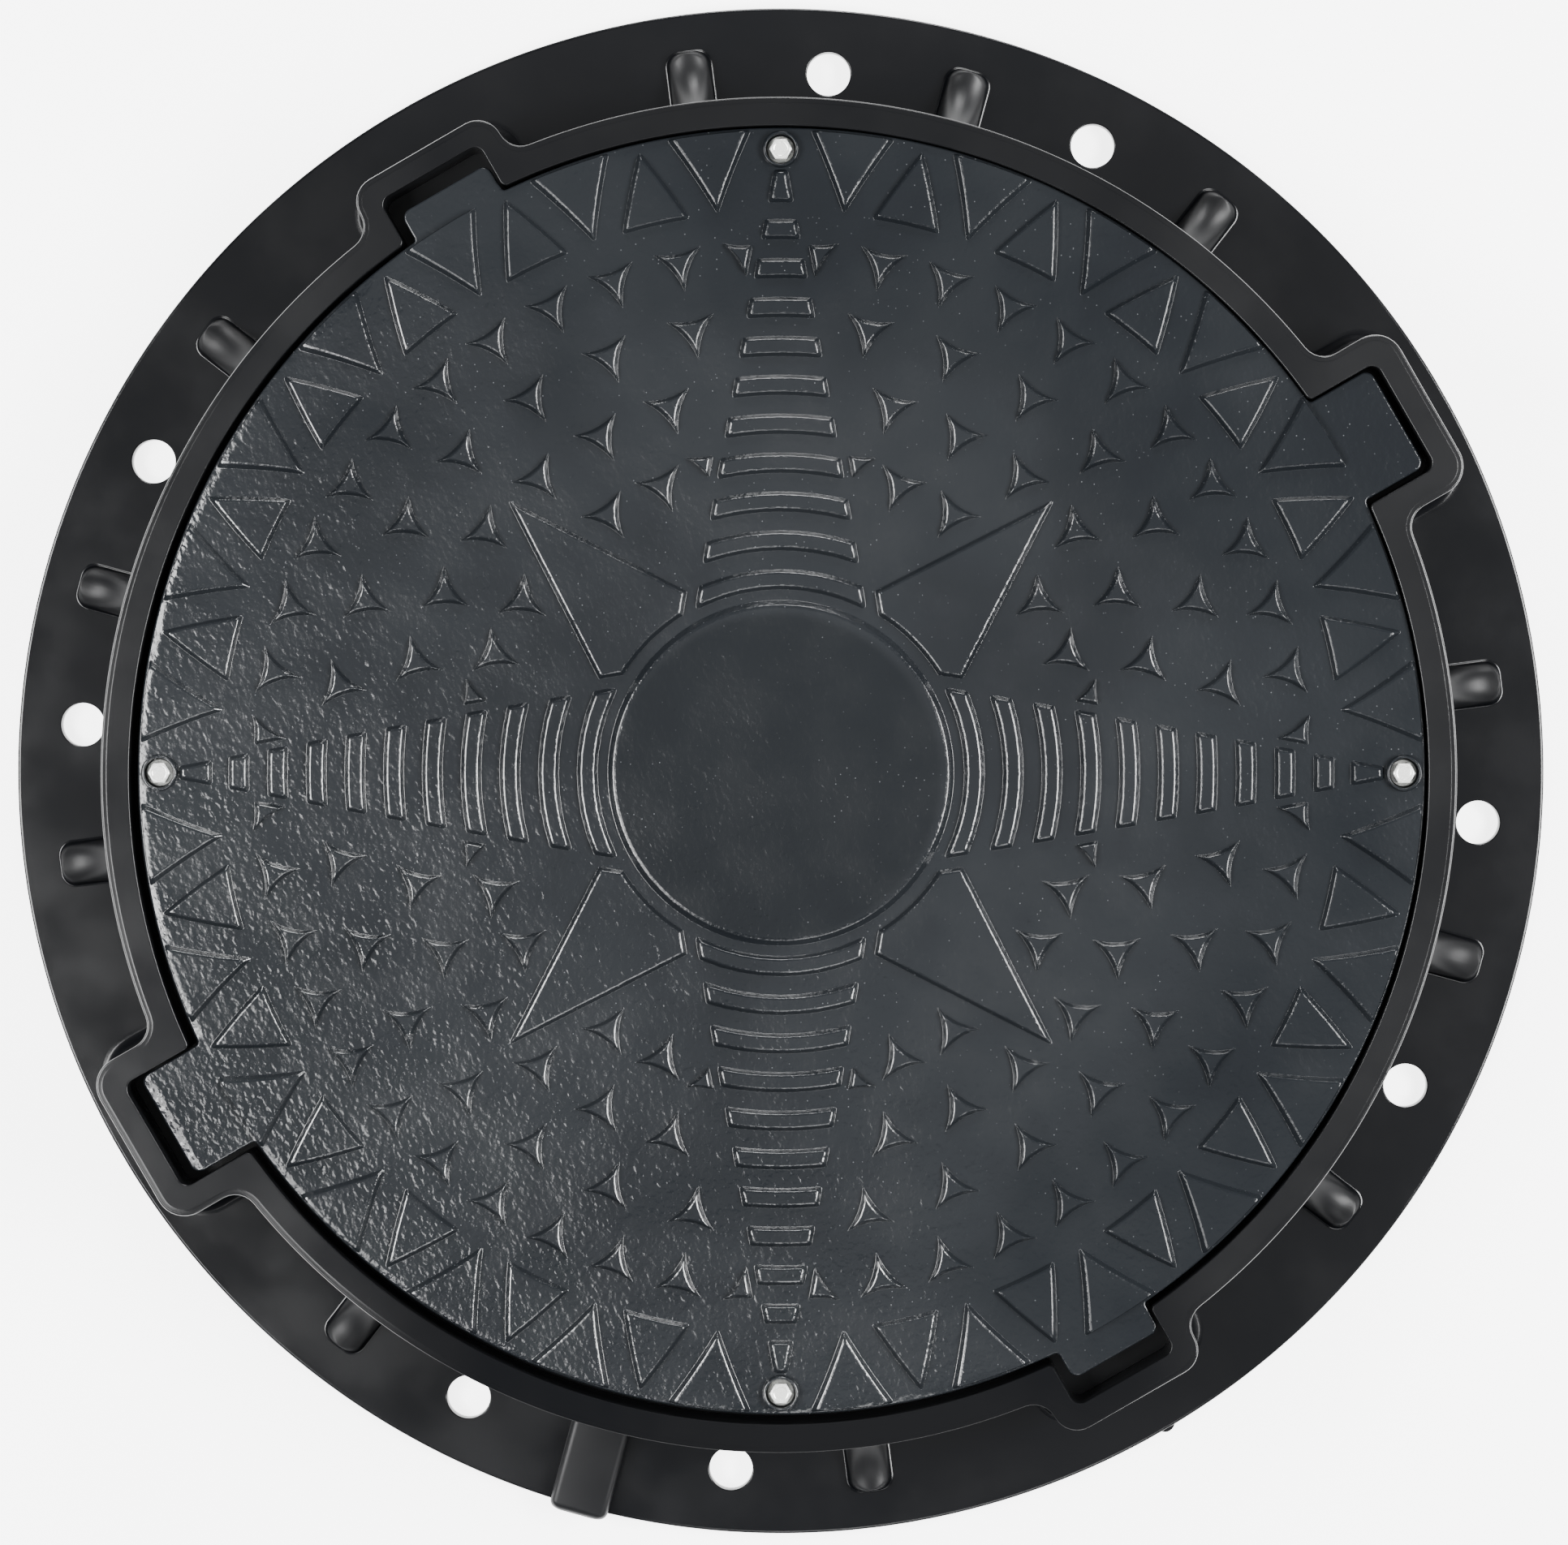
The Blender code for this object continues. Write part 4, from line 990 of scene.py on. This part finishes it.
@dataclass
class LidMoulding:
    """Lid: plate with ears and tabs, raised tread, screw lips, and open cells underneath.

    Args:
        low: lowest corner of the CAD lid.
        high: highest corner of the CAD lid.
    """

    low: Vector
    high: Vector
    radius: float = 328.0 * MM
    plate_thickness: float = 8.0 * MM
    ear_thickness: float = 10.0 * MM
    tread_height: float = 3.0 * MM
    tread_slope: float = 2.7 * MM
    edge_slope: float = 0.3
    hub_slope: float = 4.4 * MM
    tooth_pairs: int = 7
    tooth_apex: float = 285.2 * MM
    tooth_base: float = 326.9 * MM
    tooth_half_angle: float = 3.83
    counter_apex: float = 324.6 * MM
    counter_half_angle: float = 3.57
    wedge_apex: float = 322.0 * MM
    wedge_half_slope: float = 0.1883
    pad_corner: float = 1.2 * MM
    bars: int = 10
    bar_outer: float = 281.7 * MM
    bar_pitch: float = 19.75 * MM
    bar_thickness: float = 10.6 * MM
    bar_corner: float = 1.6 * MM
    bar_widening: float = 0.7 * MM
    last_bar_inner: float = 289.8 * MM
    last_bar_gap: float = 0.6 * MM
    star_tip: float = 14.8 * MM
    star_waist: float = 5.2 * MM
    star_crown: float = 0.52
    star_gap: float = 4.0 * MM
    kite_heel: float = 94.3 * MM
    kite_heel_angle: float = 13.2
    kite_shoulder: float = 104.2 * MM
    kite_half_angle: float = 17.8
    kite_tip: float = 197.5 * MM
    hub_radius: float = 88.4 * MM
    screw_circle: float = 317.0 * MM
    bore_radius: float = 7.6 * MM
    lip_width: float = 1.9 * MM
    screw_hole_radius: float = 3.5 * MM
    bore_depth: float = 4.0 * MM
    cell_rings: tuple[tuple[float, float, int], ...] = (
        (45.0 * MM, 145.0 * MM, 8), (151.0 * MM, 221.0 * MM, 16), (227.0 * MM, 296.0 * MM, 16))
    cell_rib: float = 6.0 * MM
    cell_corner: float = 3.0 * MM

    @property
    def top(self) -> float:
        """Level of the tread's crown."""
        return self.high.z

    @property
    def bottom(self) -> float:
        """Level of the rib edges."""
        return self.low.z

    @property
    def plate(self) -> float:
        """Level of the plate between the raised pads."""
        return self.top - self.tread_height

    def edge(self) -> LobedOutline:
        """Edge of the plate with its ears and tabs."""
        return LobedOutline(self.radius, {Lug.EAR: 28.5 * MM, Lug.TAB: 25.4 * MM},
                            {Lug.EAR: 361.6 * MM, Lug.TAB: 343.0 * MM}, 5.0 * MM, 2.2 * MM)

    def _raise_pads(self, skin: Skin, rings: np.ndarray) -> list[np.ndarray]:
        """Flanks and crowns of pads whose rings are laid out as (pad, ring, point, xy).

        The level rises with the flank's profile over the rings.

        Args:
            skin: the lid's skin.
            rings: plan rings from the foot to the crown.
        Returns:
            The foot ring of each pad.
        """
        levels = self.plate + self.tread_height * FLANK[:, 1]
        numbers = skin.loft(lifted(rings, levels[None, :, None]))
        skin.cap(numbers[:, -1], True)
        return list(numbers[:, 0])

    def _corner_pads(self, corners: np.ndarray, reference: float | None, radius: float, bends: int,
                     sides: int) -> np.ndarray:
        """Rings of one pad from its corners; each ring is the inset polygon, rounded.

        Args:
            corners: corners in plan, or in the chart of radius and arc length.
            reference: radius of the chart, or None for corners in plan.
            radius: corner radius.
            bends: chords in each corner.
            sides: chords in each side.
        Returns:
            Plan rings as (ring, point, xy).
        """
        rings = [rounded(inset(corners, self.tread_slope * share), radius, bends, sides)
                 for share in FLANK[:, 0]]
        stacked = np.stack(rings)
        return stacked if reference is None else wrapped(stacked, reference)

    def _teeth(self) -> np.ndarray:
        """Rim triangles on the edge and the counter triangles between them, but none at a screw.

        The outer side of a rim triangle is nearly upright: each point moves outwards with its
        share of the tooth's depth.
        """
        pitch = 90.0 / self.tooth_pairs
        reference = (self.tooth_apex + self.tooth_base) / 2.0
        base = math.radians(self.tooth_half_angle) * reference
        counter = math.radians(self.counter_half_angle) * reference
        tooth = np.array([(self.tooth_base, -base), (self.tooth_base, base), (self.tooth_apex, 0.0)])
        other = np.array([(self.counter_apex, 0.0), (self.tooth_apex, counter), (self.tooth_apex, -counter)])
        tooth_rings = self._corner_pads(tooth, reference, self.pad_corner, 4, 7)
        reach = np.linalg.norm(tooth_rings, axis=-1, keepdims=True)
        loss = (1.0 - self.edge_slope) * self.tread_slope * FLANK[:, 0][:, None, None]
        depth = self.tooth_base - self.tooth_apex - self.tread_slope * FLANK[:, 0][:, None, None]
        tooth_rings = tooth_rings * (1.0 + loss * (reach - self.tooth_apex) / depth / reach)
        other_rings = self._corner_pads(other, reference, self.pad_corner, 4, 7)
        pads = []
        for index in range(4 * self.tooth_pairs):
            pads.append(turned(tooth_rings, pitch * (index + 0.5)))
            if index % self.tooth_pairs:
                pads.append(turned(other_rings, pitch * index))
        return np.stack(pads)

    def _bars(self) -> np.ndarray:
        """Ladder bars of the four arms; a bar's ends follow two lines that meet near the screw."""
        outer = self.bar_outer - self.bar_pitch * np.arange(self.bars)
        spans = [(radius - self.bar_thickness, radius) for radius in outer]
        lip = self.screw_circle - self.bore_radius - self.lip_width
        spans.append((self.last_bar_inner, lip - self.last_bar_gap))
        pads = []
        for inner, radius in spans:
            reference = (inner + radius) / 2.0
            near, far = [math.asin((self.wedge_apex - r) * self.wedge_half_slope / r) * reference
                         + self.bar_widening for r in (inner, radius)]
            corners = np.array([(radius, -far), (radius, far), (inner, near), (inner, -near)])
            rings = self._corner_pads(corners, reference, self.bar_corner, 4, 8)
            pads += [turned(rings, quadrant) for quadrant in QUADRANTS]
        return np.stack(pads)

    def _kites(self) -> np.ndarray:
        """Compass points between the arms: a kite whose heel follows the hub as a hollow arc."""
        heel = arc((0.0, 0.0), self.kite_heel, self.kite_heel_angle, -self.kite_heel_angle, 10)
        shoulder = self.kite_shoulder * directions(np.array([-self.kite_half_angle, self.kite_half_angle]))
        corners = np.concatenate([heel, shoulder[:1], [(self.kite_tip, 0.0)], shoulder[1:]])
        rings = self._corner_pads(corners, None, 1.0 * MM, 3, 3)
        return np.stack([turned(rings, quadrant + 45.0) for quadrant in QUADRANTS])

    def _clipped(self, outline: np.ndarray, origin: np.ndarray, normal: np.ndarray) -> np.ndarray:
        """Part of an outline ahead of a line, sampled again at the same number of points.

        Where two neighbours lie on different sides, the point at which their depths balance is
        put in; points behind the line drop out; the rest is sampled evenly along its length.

        Args:
            outline: plan points, counterclockwise.
            origin: a point of the line.
            normal: direction of the side that stays.
        Returns:
            The new outline, or the same one if nothing lies behind the line.
        """
        depth = ((outline - origin) * normal).sum(axis=1)
        if (depth >= 0.0).all():
            return outline
        ahead, depth_ahead = np.roll(outline, -1, axis=0), np.roll(depth, -1)
        crosses = (depth >= 0.0) != (depth_ahead >= 0.0)
        share = depth / np.where(crosses, depth - depth_ahead, 1.0)
        both = np.stack([outline, outline + (ahead - outline) * share[:, None]], axis=1)
        kept = both[np.stack([depth >= 0.0, crosses], axis=1)]
        closed = np.concatenate([kept, kept[:1]])
        run = np.concatenate([[0.0], np.cumsum(np.linalg.norm(np.diff(closed, axis=0), axis=1))])
        at = np.linspace(0.0, run[-1], len(outline) + 1)[:-1]
        return np.stack([np.interp(at, run, closed[:, 0]), np.interp(at, run, closed[:, 1])], axis=1)

    def _star(self) -> np.ndarray:
        """Three-pointed star about the origin, one tip towards the west.

        Each side is a parabola between two tips whose middle lies at the waist; its control
        point is twice the waist less the mean of the tips. The tips are cut short.
        """
        tips = self.star_tip * directions(np.array([60.0, 180.0, 300.0]))
        following = np.roll(tips, -1, axis=0)
        waist = self.star_waist * directions(np.array([120.0, 240.0, 0.0]))
        control = 2.0 * waist - (tips + following) / 2.0
        return parabola(tips, control, following, np.linspace(0.02, 0.98, 9)).reshape(-1, 2)

    def _stars(self) -> np.ndarray:
        """Star field; a star beside an arm is flattened on to a line along the arm.

        A ring shrinks a star about its own middle, so that its tips draw in further than its
        waists, as a drafted star's do.
        """
        slant = math.degrees(math.atan(self.wedge_half_slope))
        star = self._star()
        pads = []
        shrink = 1.0 - (1.0 - self.star_crown) * FLANK[:, 0]
        for radius, angles in STAR_ROWS:
            for angle in angles:
                outline = turned(star + (radius * MM, 0.0), angle)
                for turn, side in ((0.0, 1.0), (90.0, -1.0)):
                    normal = turned(directions(90.0 - slant) * (1.0, side), turn)
                    origin = turned(np.array([self.wedge_apex, 0.0]), turn) + normal * self.star_gap
                    outline = self._clipped(outline, origin, normal)
                middle = outline.mean(axis=0)
                rings = middle + (outline - middle)[None] * shrink[:, None, None]
                pads += [turned(rings, quadrant) for quadrant in QUADRANTS]
        return np.stack(pads)

    def _hub(self) -> np.ndarray:
        """Plain round field in the middle."""
        radii = self.hub_radius - self.hub_slope * FLANK[:, 0]
        return np.stack([circle(radius, 160) for radius in radii])[None]

    def _screw_places(self, skin: Skin) -> tuple[list[np.ndarray], list[np.ndarray]]:
        """Raised lips, counterbores and through holes; returns their top and bottom rings."""
        tops, bottoms = [], []
        flank = [(self.bore_radius + self.lip_width - 0.9 * MM * across, self.plate + self.tread_height * up)
                 for across, up in FLANK]
        profile = flank + [(self.bore_radius + 0.3 * MM, self.top), (self.bore_radius, self.top - 0.3 * MM),
                           (self.bore_radius, self.plate - self.bore_depth),
                           (self.screw_hole_radius, self.plate - self.bore_depth),
                           (self.screw_hole_radius, self.bottom)]
        for angle in QUADRANTS:
            centre = tuple(self.screw_circle * directions(angle))
            rings = skin.spin(profile, 40, centre)
            skin.crease(rings[-3:-1])
            tops.append(rings[0])
            bottoms.append(rings[-1])
        return tops, bottoms

    def _cells(self, skin: Skin) -> list[np.ndarray]:
        """Pockets between the ribs under the plate, drafted and with round corners."""
        mouths = []
        levels = np.array([self.bottom, self.bottom + 0.6 * MM, self.plate - self.plate_thickness - 2.0 * MM,
                           self.plate - self.plate_thickness])
        insets = np.array([0.0, 0.35, 0.9, 2.6]) * MM
        for inner, outer, count in self.cell_rings:
            reference = (inner + outer) / 2.0
            near, far = [(math.pi / count - math.asin(self.cell_rib / 2.0 / r)) * reference
                         for r in (inner, outer)]
            corners = np.array([(outer, -far), (outer, far), (inner, near), (inner, -near)])
            rings = np.stack([wrapped(rounded(inset(corners, gap), self.cell_corner, 4, 10), reference)
                              for gap in insets])
            turns = np.stack([turned(rings, 360.0 / count * (index + 0.5)) for index in range(count)])
            numbers = skin.add(lifted(turns, levels[None, :, None]))
            skin.bridge(numbers[:, 1:], numbers[:, :-1])
            skin.cap(numbers[:, -1], False)
            mouths += list(numbers[:, 0])
        return mouths

    def build(self, material: bpy.types.Material) -> bpy.types.Object:
        """Make the lid's surface and hand it over in its finish."""
        skin = Skin()
        edge = self.edge()
        outline = edge.points()
        ear_bottom = self.plate - self.ear_thickness
        side = skin.loft(np.stack([
            lifted(same_directions(outline, self.radius - 2.0 * MM), self.bottom),
            lifted(same_directions(outline, self.radius - 1.0 * MM), ear_bottom),
            lifted(edge.points(-0.6 * MM), ear_bottom), lifted(outline, ear_bottom + 0.6 * MM),
            lifted(outline, self.plate - 0.9 * MM),
            lifted(edge.points(-0.12 * MM), self.plate - 0.45 * MM),
            lifted(edge.points(-0.4 * MM), self.plate - 0.15 * MM),
            lifted(edge.points(-0.9 * MM), self.plate)]))
        skin.crease(side[1])
        grounds = []
        for pads in (self._teeth(), self._bars(), self._stars(), self._kites(), self._hub()):
            grounds += self._raise_pads(skin, pads)
        tops, bottoms = self._screw_places(skin)
        mouths = self._cells(skin)
        skin.fill(side[-1], [*grounds, *tops], upwards=True)
        skin.fill(side[0], [*mouths, *bottoms], upwards=False)
        skin.move((self.low + self.high) / 2.0)
        return skin.piece("lid_moulding", material, "lid_plastic", "lid")


@dataclass
class FlangeScrew:
    """Hexagon flange screw, turned round its own axis from the tip of its thread to its head.

    Args:
        side: compass side that names it.
        low: lowest corner of the CAD screw.
        high: highest corner of the CAD screw.
    """

    side: str
    low: Vector
    high: Vector
    thread_radius: float = 3.0 * MM
    flange_radius: float = 6.85 * MM
    flange_thickness: float = 1.1 * MM
    across_flats: float = 10.0 * MM
    head_height: float = 6.0 * MM
    pitch: float = 1.0 * MM
    sides: int = 48

    def _hexagon(self, scale: float = 1.0) -> np.ndarray:
        """Hexagon sampled at even directions: the flat's distance over the cosine from its middle."""
        angle = np.arange(self.sides) * 360.0 / self.sides
        off = (angle % 60.0) - 30.0
        reach = self.across_flats / 2.0 / np.cos(np.radians(off))
        return directions(angle) * reach[:, None] * scale

    def _thread(self, bottom: float, top: float) -> np.ndarray:
        """Threaded shank: the radius swings with the level and the direction, once in a pitch."""
        levels = np.arange(bottom, top, self.pitch / 5.0)
        angle = np.arange(self.sides) * 360.0 / self.sides
        phase = levels[:, None] / self.pitch + angle[None] / 360.0
        radius = self.thread_radius - 0.55 * MM * np.abs(2.0 * (phase % 1.0) - 1.0)
        return lifted(directions(angle)[None] * radius[..., None], levels[:, None])

    def build(self, material: bpy.types.Material) -> bpy.types.Object:
        """Make the screw's surface and hand it over."""
        centre = plan_centre(self.low, self.high)
        head_top = self.high.z
        seat = head_top - self.head_height
        round_plan = circle(1.0, self.sides)
        tip = lifted(round_plan * 2.1 * MM, self.low.z)[None]
        thread = self._thread(self.low.z + 0.6 * MM, seat - 12.0 * MM)
        head = [(round_plan * self.thread_radius, seat - 11.0 * MM), (round_plan * self.thread_radius, seat),
                (round_plan * (self.flange_radius - 0.3 * MM), seat),
                (round_plan * self.flange_radius, seat + 0.3 * MM),
                (round_plan * self.flange_radius, seat + self.flange_thickness - 0.3 * MM),
                (round_plan * (self.flange_radius - 0.35 * MM), seat + self.flange_thickness),
                (self._hexagon(), seat + self.flange_thickness + 0.55 * MM),
                (self._hexagon(), head_top - 0.75 * MM), (self._hexagon(0.985), head_top - 0.45 * MM),
                (round_plan * 4.75 * MM, head_top - 0.12 * MM), (round_plan * 4.5 * MM, head_top),
                (round_plan * 3.9 * MM, head_top), (round_plan * 3.2 * MM, head_top - 0.45 * MM)]
        rings = np.concatenate([tip, thread, np.stack([lifted(plan, level) for plan, level in head])])
        skin = Skin()
        numbers = skin.closed(skin.loft(rings + centre))
        skin.crease(numbers[[-11, -7, -6]])
        name = "screw_" + self.side
        return skin.piece("flange_" + name, material, "screw_zinc", name)


@dataclass
class ThreadedInsert:
    """Brass tube insert with a knurled outside."""

    side: str
    low: Vector
    high: Vector
    bore_radius: float = 3.3 * MM
    groove: float = 0.35 * MM
    teeth: int = 24

    def build(self, material: bpy.types.Material) -> bpy.types.Object:
        """Make the insert: its outer radius swings with the direction, once a tooth."""
        centre = plan_centre(self.low, self.high)
        outer = (self.high.x - self.low.x) / 2.0
        sides = 4 * self.teeth
        angle = np.arange(sides) * 360.0 / sides
        swing = 0.5 - 0.5 * np.cos(np.radians(angle * self.teeth))
        bottom, top = self.low.z, self.high.z
        length = top - bottom
        neck = outer - self.groove
        profile = ((outer, 0.25, 0.0), (outer, 0.25, 0.4), (outer, 0.25, 0.42), (neck, 0.0, 0.46),
                   (neck, 0.0, 0.54), (outer, 0.25, 0.58), (outer, 0.25, 1.0), (self.bore_radius, 0.0, 1.0),
                   (self.bore_radius, 0.0, 0.0))
        rings = []
        for radius, depth, share in profile:
            reach = radius - depth * MM * swing
            rings.append(lifted(directions(angle) * reach[:, None], bottom + length * share))
        skin = Skin()
        numbers = skin.loft(np.stack(rings) + centre, closed=True)
        skin.crease(numbers[[0, 6, 7, 8]])
        name = "insert_" + self.side
        return skin.piece("threaded_" + name, material, "insert_brass", name)


@dataclass
class SealRing:
    """Rubber seal: a flat ring with two low sealing beads on its upper face."""

    low: Vector
    high: Vector
    width: float = 8.0 * MM
    bead: float = 0.9 * MM

    def build(self, material: bpy.types.Material) -> bpy.types.Object:
        """Make the seal: the section's height swings in two waves across its width."""
        outer = (self.high.x - self.low.x) / 2.0
        across = np.linspace(0.0, 1.0, 25)
        wave = np.abs(np.sin(2.0 * np.pi * across))
        top_level = self.high.z - self.bead * (1.0 - wave)
        radius = outer - 0.2 * MM - (self.width - 0.4 * MM) * across
        plan = circle(1.0, 240)
        top = lifted(plan[None] * radius[:, None, None], top_level[:, None])
        base = np.stack([lifted(plan * (outer - self.width), self.low.z), lifted(plan * outer, self.low.z)])
        skin = Skin()
        numbers = skin.loft(np.concatenate([top, base]), closed=True)
        skin.crease(numbers[[0, 24, 25, 26]])
        return skin.piece("rubber_seal", material, "seal_rubber", "seal_ring")


@dataclass
class Studio:
    """Pale floor, soft lights and the camera of the photograph.

    The camera stands almost over the cover. Its offset from the vertical comes from how far
    the rim is shifted against the flange in the photograph.

    Args:
        camera_place: place of the camera in metres.
        aim: point of the flange that the photograph's middle shows.
        frame_width: width at the flange that the photograph spans, in metres.
        floor_radius: radius of the floor in metres.
    """

    camera_place: Triple = (0.0295, 0.0595, 2.651)
    aim: Triple = (0.0023, 0.0005, 0.008)
    frame_width: float = 0.82175
    floor_radius: float = 7.0

    def floor(self) -> None:
        """Round pale floor far wider than the view."""
        disc = lifted(circle(self.floor_radius, 96), 0.0)
        mesh = bpy.data.meshes.new("studio_floor")
        mesh.from_pydata(disc.tolist(), [], [list(range(len(disc)))])
        material = bpy.data.materials.new("floor_paint")
        material.use_nodes = True
        shader = material.node_tree.nodes["Principled BSDF"]
        shader.inputs["Base Color"].default_value = (0.92, 0.92, 0.92, 1.0)
        shader.inputs["Roughness"].default_value = 0.9
        shader.inputs["Emission Color"].default_value = (1.0, 1.0, 1.0, 1.0)
        shader.inputs["Emission Strength"].default_value = 4.2
        mesh.materials.append(material)
        floor = bpy.data.objects.new("studio_floor", mesh)
        bpy.context.scene.collection.objects.link(floor)
        floor.location.z = -0.0005

    def softbox(self, name: str, place: Triple, size: tuple[float, float], power: float) -> None:
        """One rectangular soft light that looks at the cover's middle."""
        light = bpy.data.lights.new(name, 'AREA')
        light.shape = 'RECTANGLE'
        light.size, light.size_y = size
        light.energy = power
        lamp = bpy.data.objects.new(name, light)
        lamp.location = place
        lamp.rotation_euler = (Vector((0.0, 0.0, 0.05)) - Vector(place)).to_track_quat('-Z', 'Y').to_euler()
        bpy.context.scene.collection.objects.link(lamp)

    def lights(self) -> None:
        """Soft lights round the cover, strongest in the east, a weak one overhead, and a dim sky."""
        self.softbox("light_overhead", (0.2, 0.3, 4.2), (2.8, 2.8), 9.5)
        self.softbox("light_southwest", (-1.5, -0.95, 2.7), (1.3, 1.2), 54.0)
        self.softbox("light_west", (-1.65, 0.0, 1.6), (1.4, 0.7), 79.0)
        self.softbox("light_east", (1.96, 0.05, 1.76), (1.8, 0.8), 165.0)
        self.softbox("light_south", (0.4, -1.9, 2.0), (1.2, 0.6), 15.0)
        self.softbox("light_north", (0.2, 2.7, 1.15), (1.2, 0.6), 62.0)
        world = bpy.data.worlds.new("studio_sky")
        world.use_nodes = True
        background = world.node_tree.nodes["Background"]
        background.inputs["Color"].default_value = (0.92, 0.97, 1.06, 1.0)
        background.inputs["Strength"].default_value = 0.07
        bpy.context.scene.world = world

    def camera(self) -> None:
        """Camera almost overhead, with north at the top of the picture."""
        data = bpy.data.cameras.new("photo_camera")
        data.sensor_fit = 'HORIZONTAL'
        place, aim = Vector(self.camera_place), Vector(self.aim)
        data.lens = data.sensor_width * (place - aim).length / self.frame_width
        camera = bpy.data.objects.new("photo_camera", data)
        back = (place - aim).normalized()
        right = Vector((0.0, 1.0, 0.0)).cross(back).normalized()
        up = back.cross(right)
        camera.matrix_world = Matrix([(right.x, up.x, back.x, place.x), (right.y, up.y, back.y, place.y),
                                      (right.z, up.z, back.z, place.z), (0.0, 0.0, 0.0, 1.0)])
        bpy.context.scene.collection.objects.link(camera)
        bpy.context.scene.camera = camera

    def build(self) -> None:
        """Set up the whole studio."""
        self.floor()
        self.lights()
        self.camera()


def main() -> None:
    """Load the frame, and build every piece."""
    logging.basicConfig(level=logging.INFO, format="%(name)s: %(message)s")
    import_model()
    _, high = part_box("frame")
    screws = {side: [Vector(corner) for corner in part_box("screw_" + side)] for side in COMPASS}
    middles = [tuple(plan_centre(*corners)[:2]) for corners in screws.values()]
    FrameMoulding(high[2], min(high[0], high[1]), middles).build(FramePlastic().material())
    LidMoulding(*[Vector(corner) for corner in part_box("lid")]).build(LidPlastic().material())
    SealRing(*[Vector(corner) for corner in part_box("seal_ring")]).build(Rubber().material())
    zinc = Metal("screw_zinc", dark=(0.80, 0.81, 0.77), light=(0.93, 0.93, 0.90), gloss=(0.16, 0.30),
                 metallic=0.30).material()
    brass = Metal("insert_brass", dark=(0.50, 0.35, 0.14), light=(0.66, 0.47, 0.20),
                  gloss=(0.22, 0.40)).material()
    for side in COMPASS:
        FlangeScrew(side, *screws[side]).build(zinc)
        ThreadedInsert(side, *[Vector(corner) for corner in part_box("insert_" + side)]).build(brass)
    Studio().build()


if __name__ == "__main__":
    main()
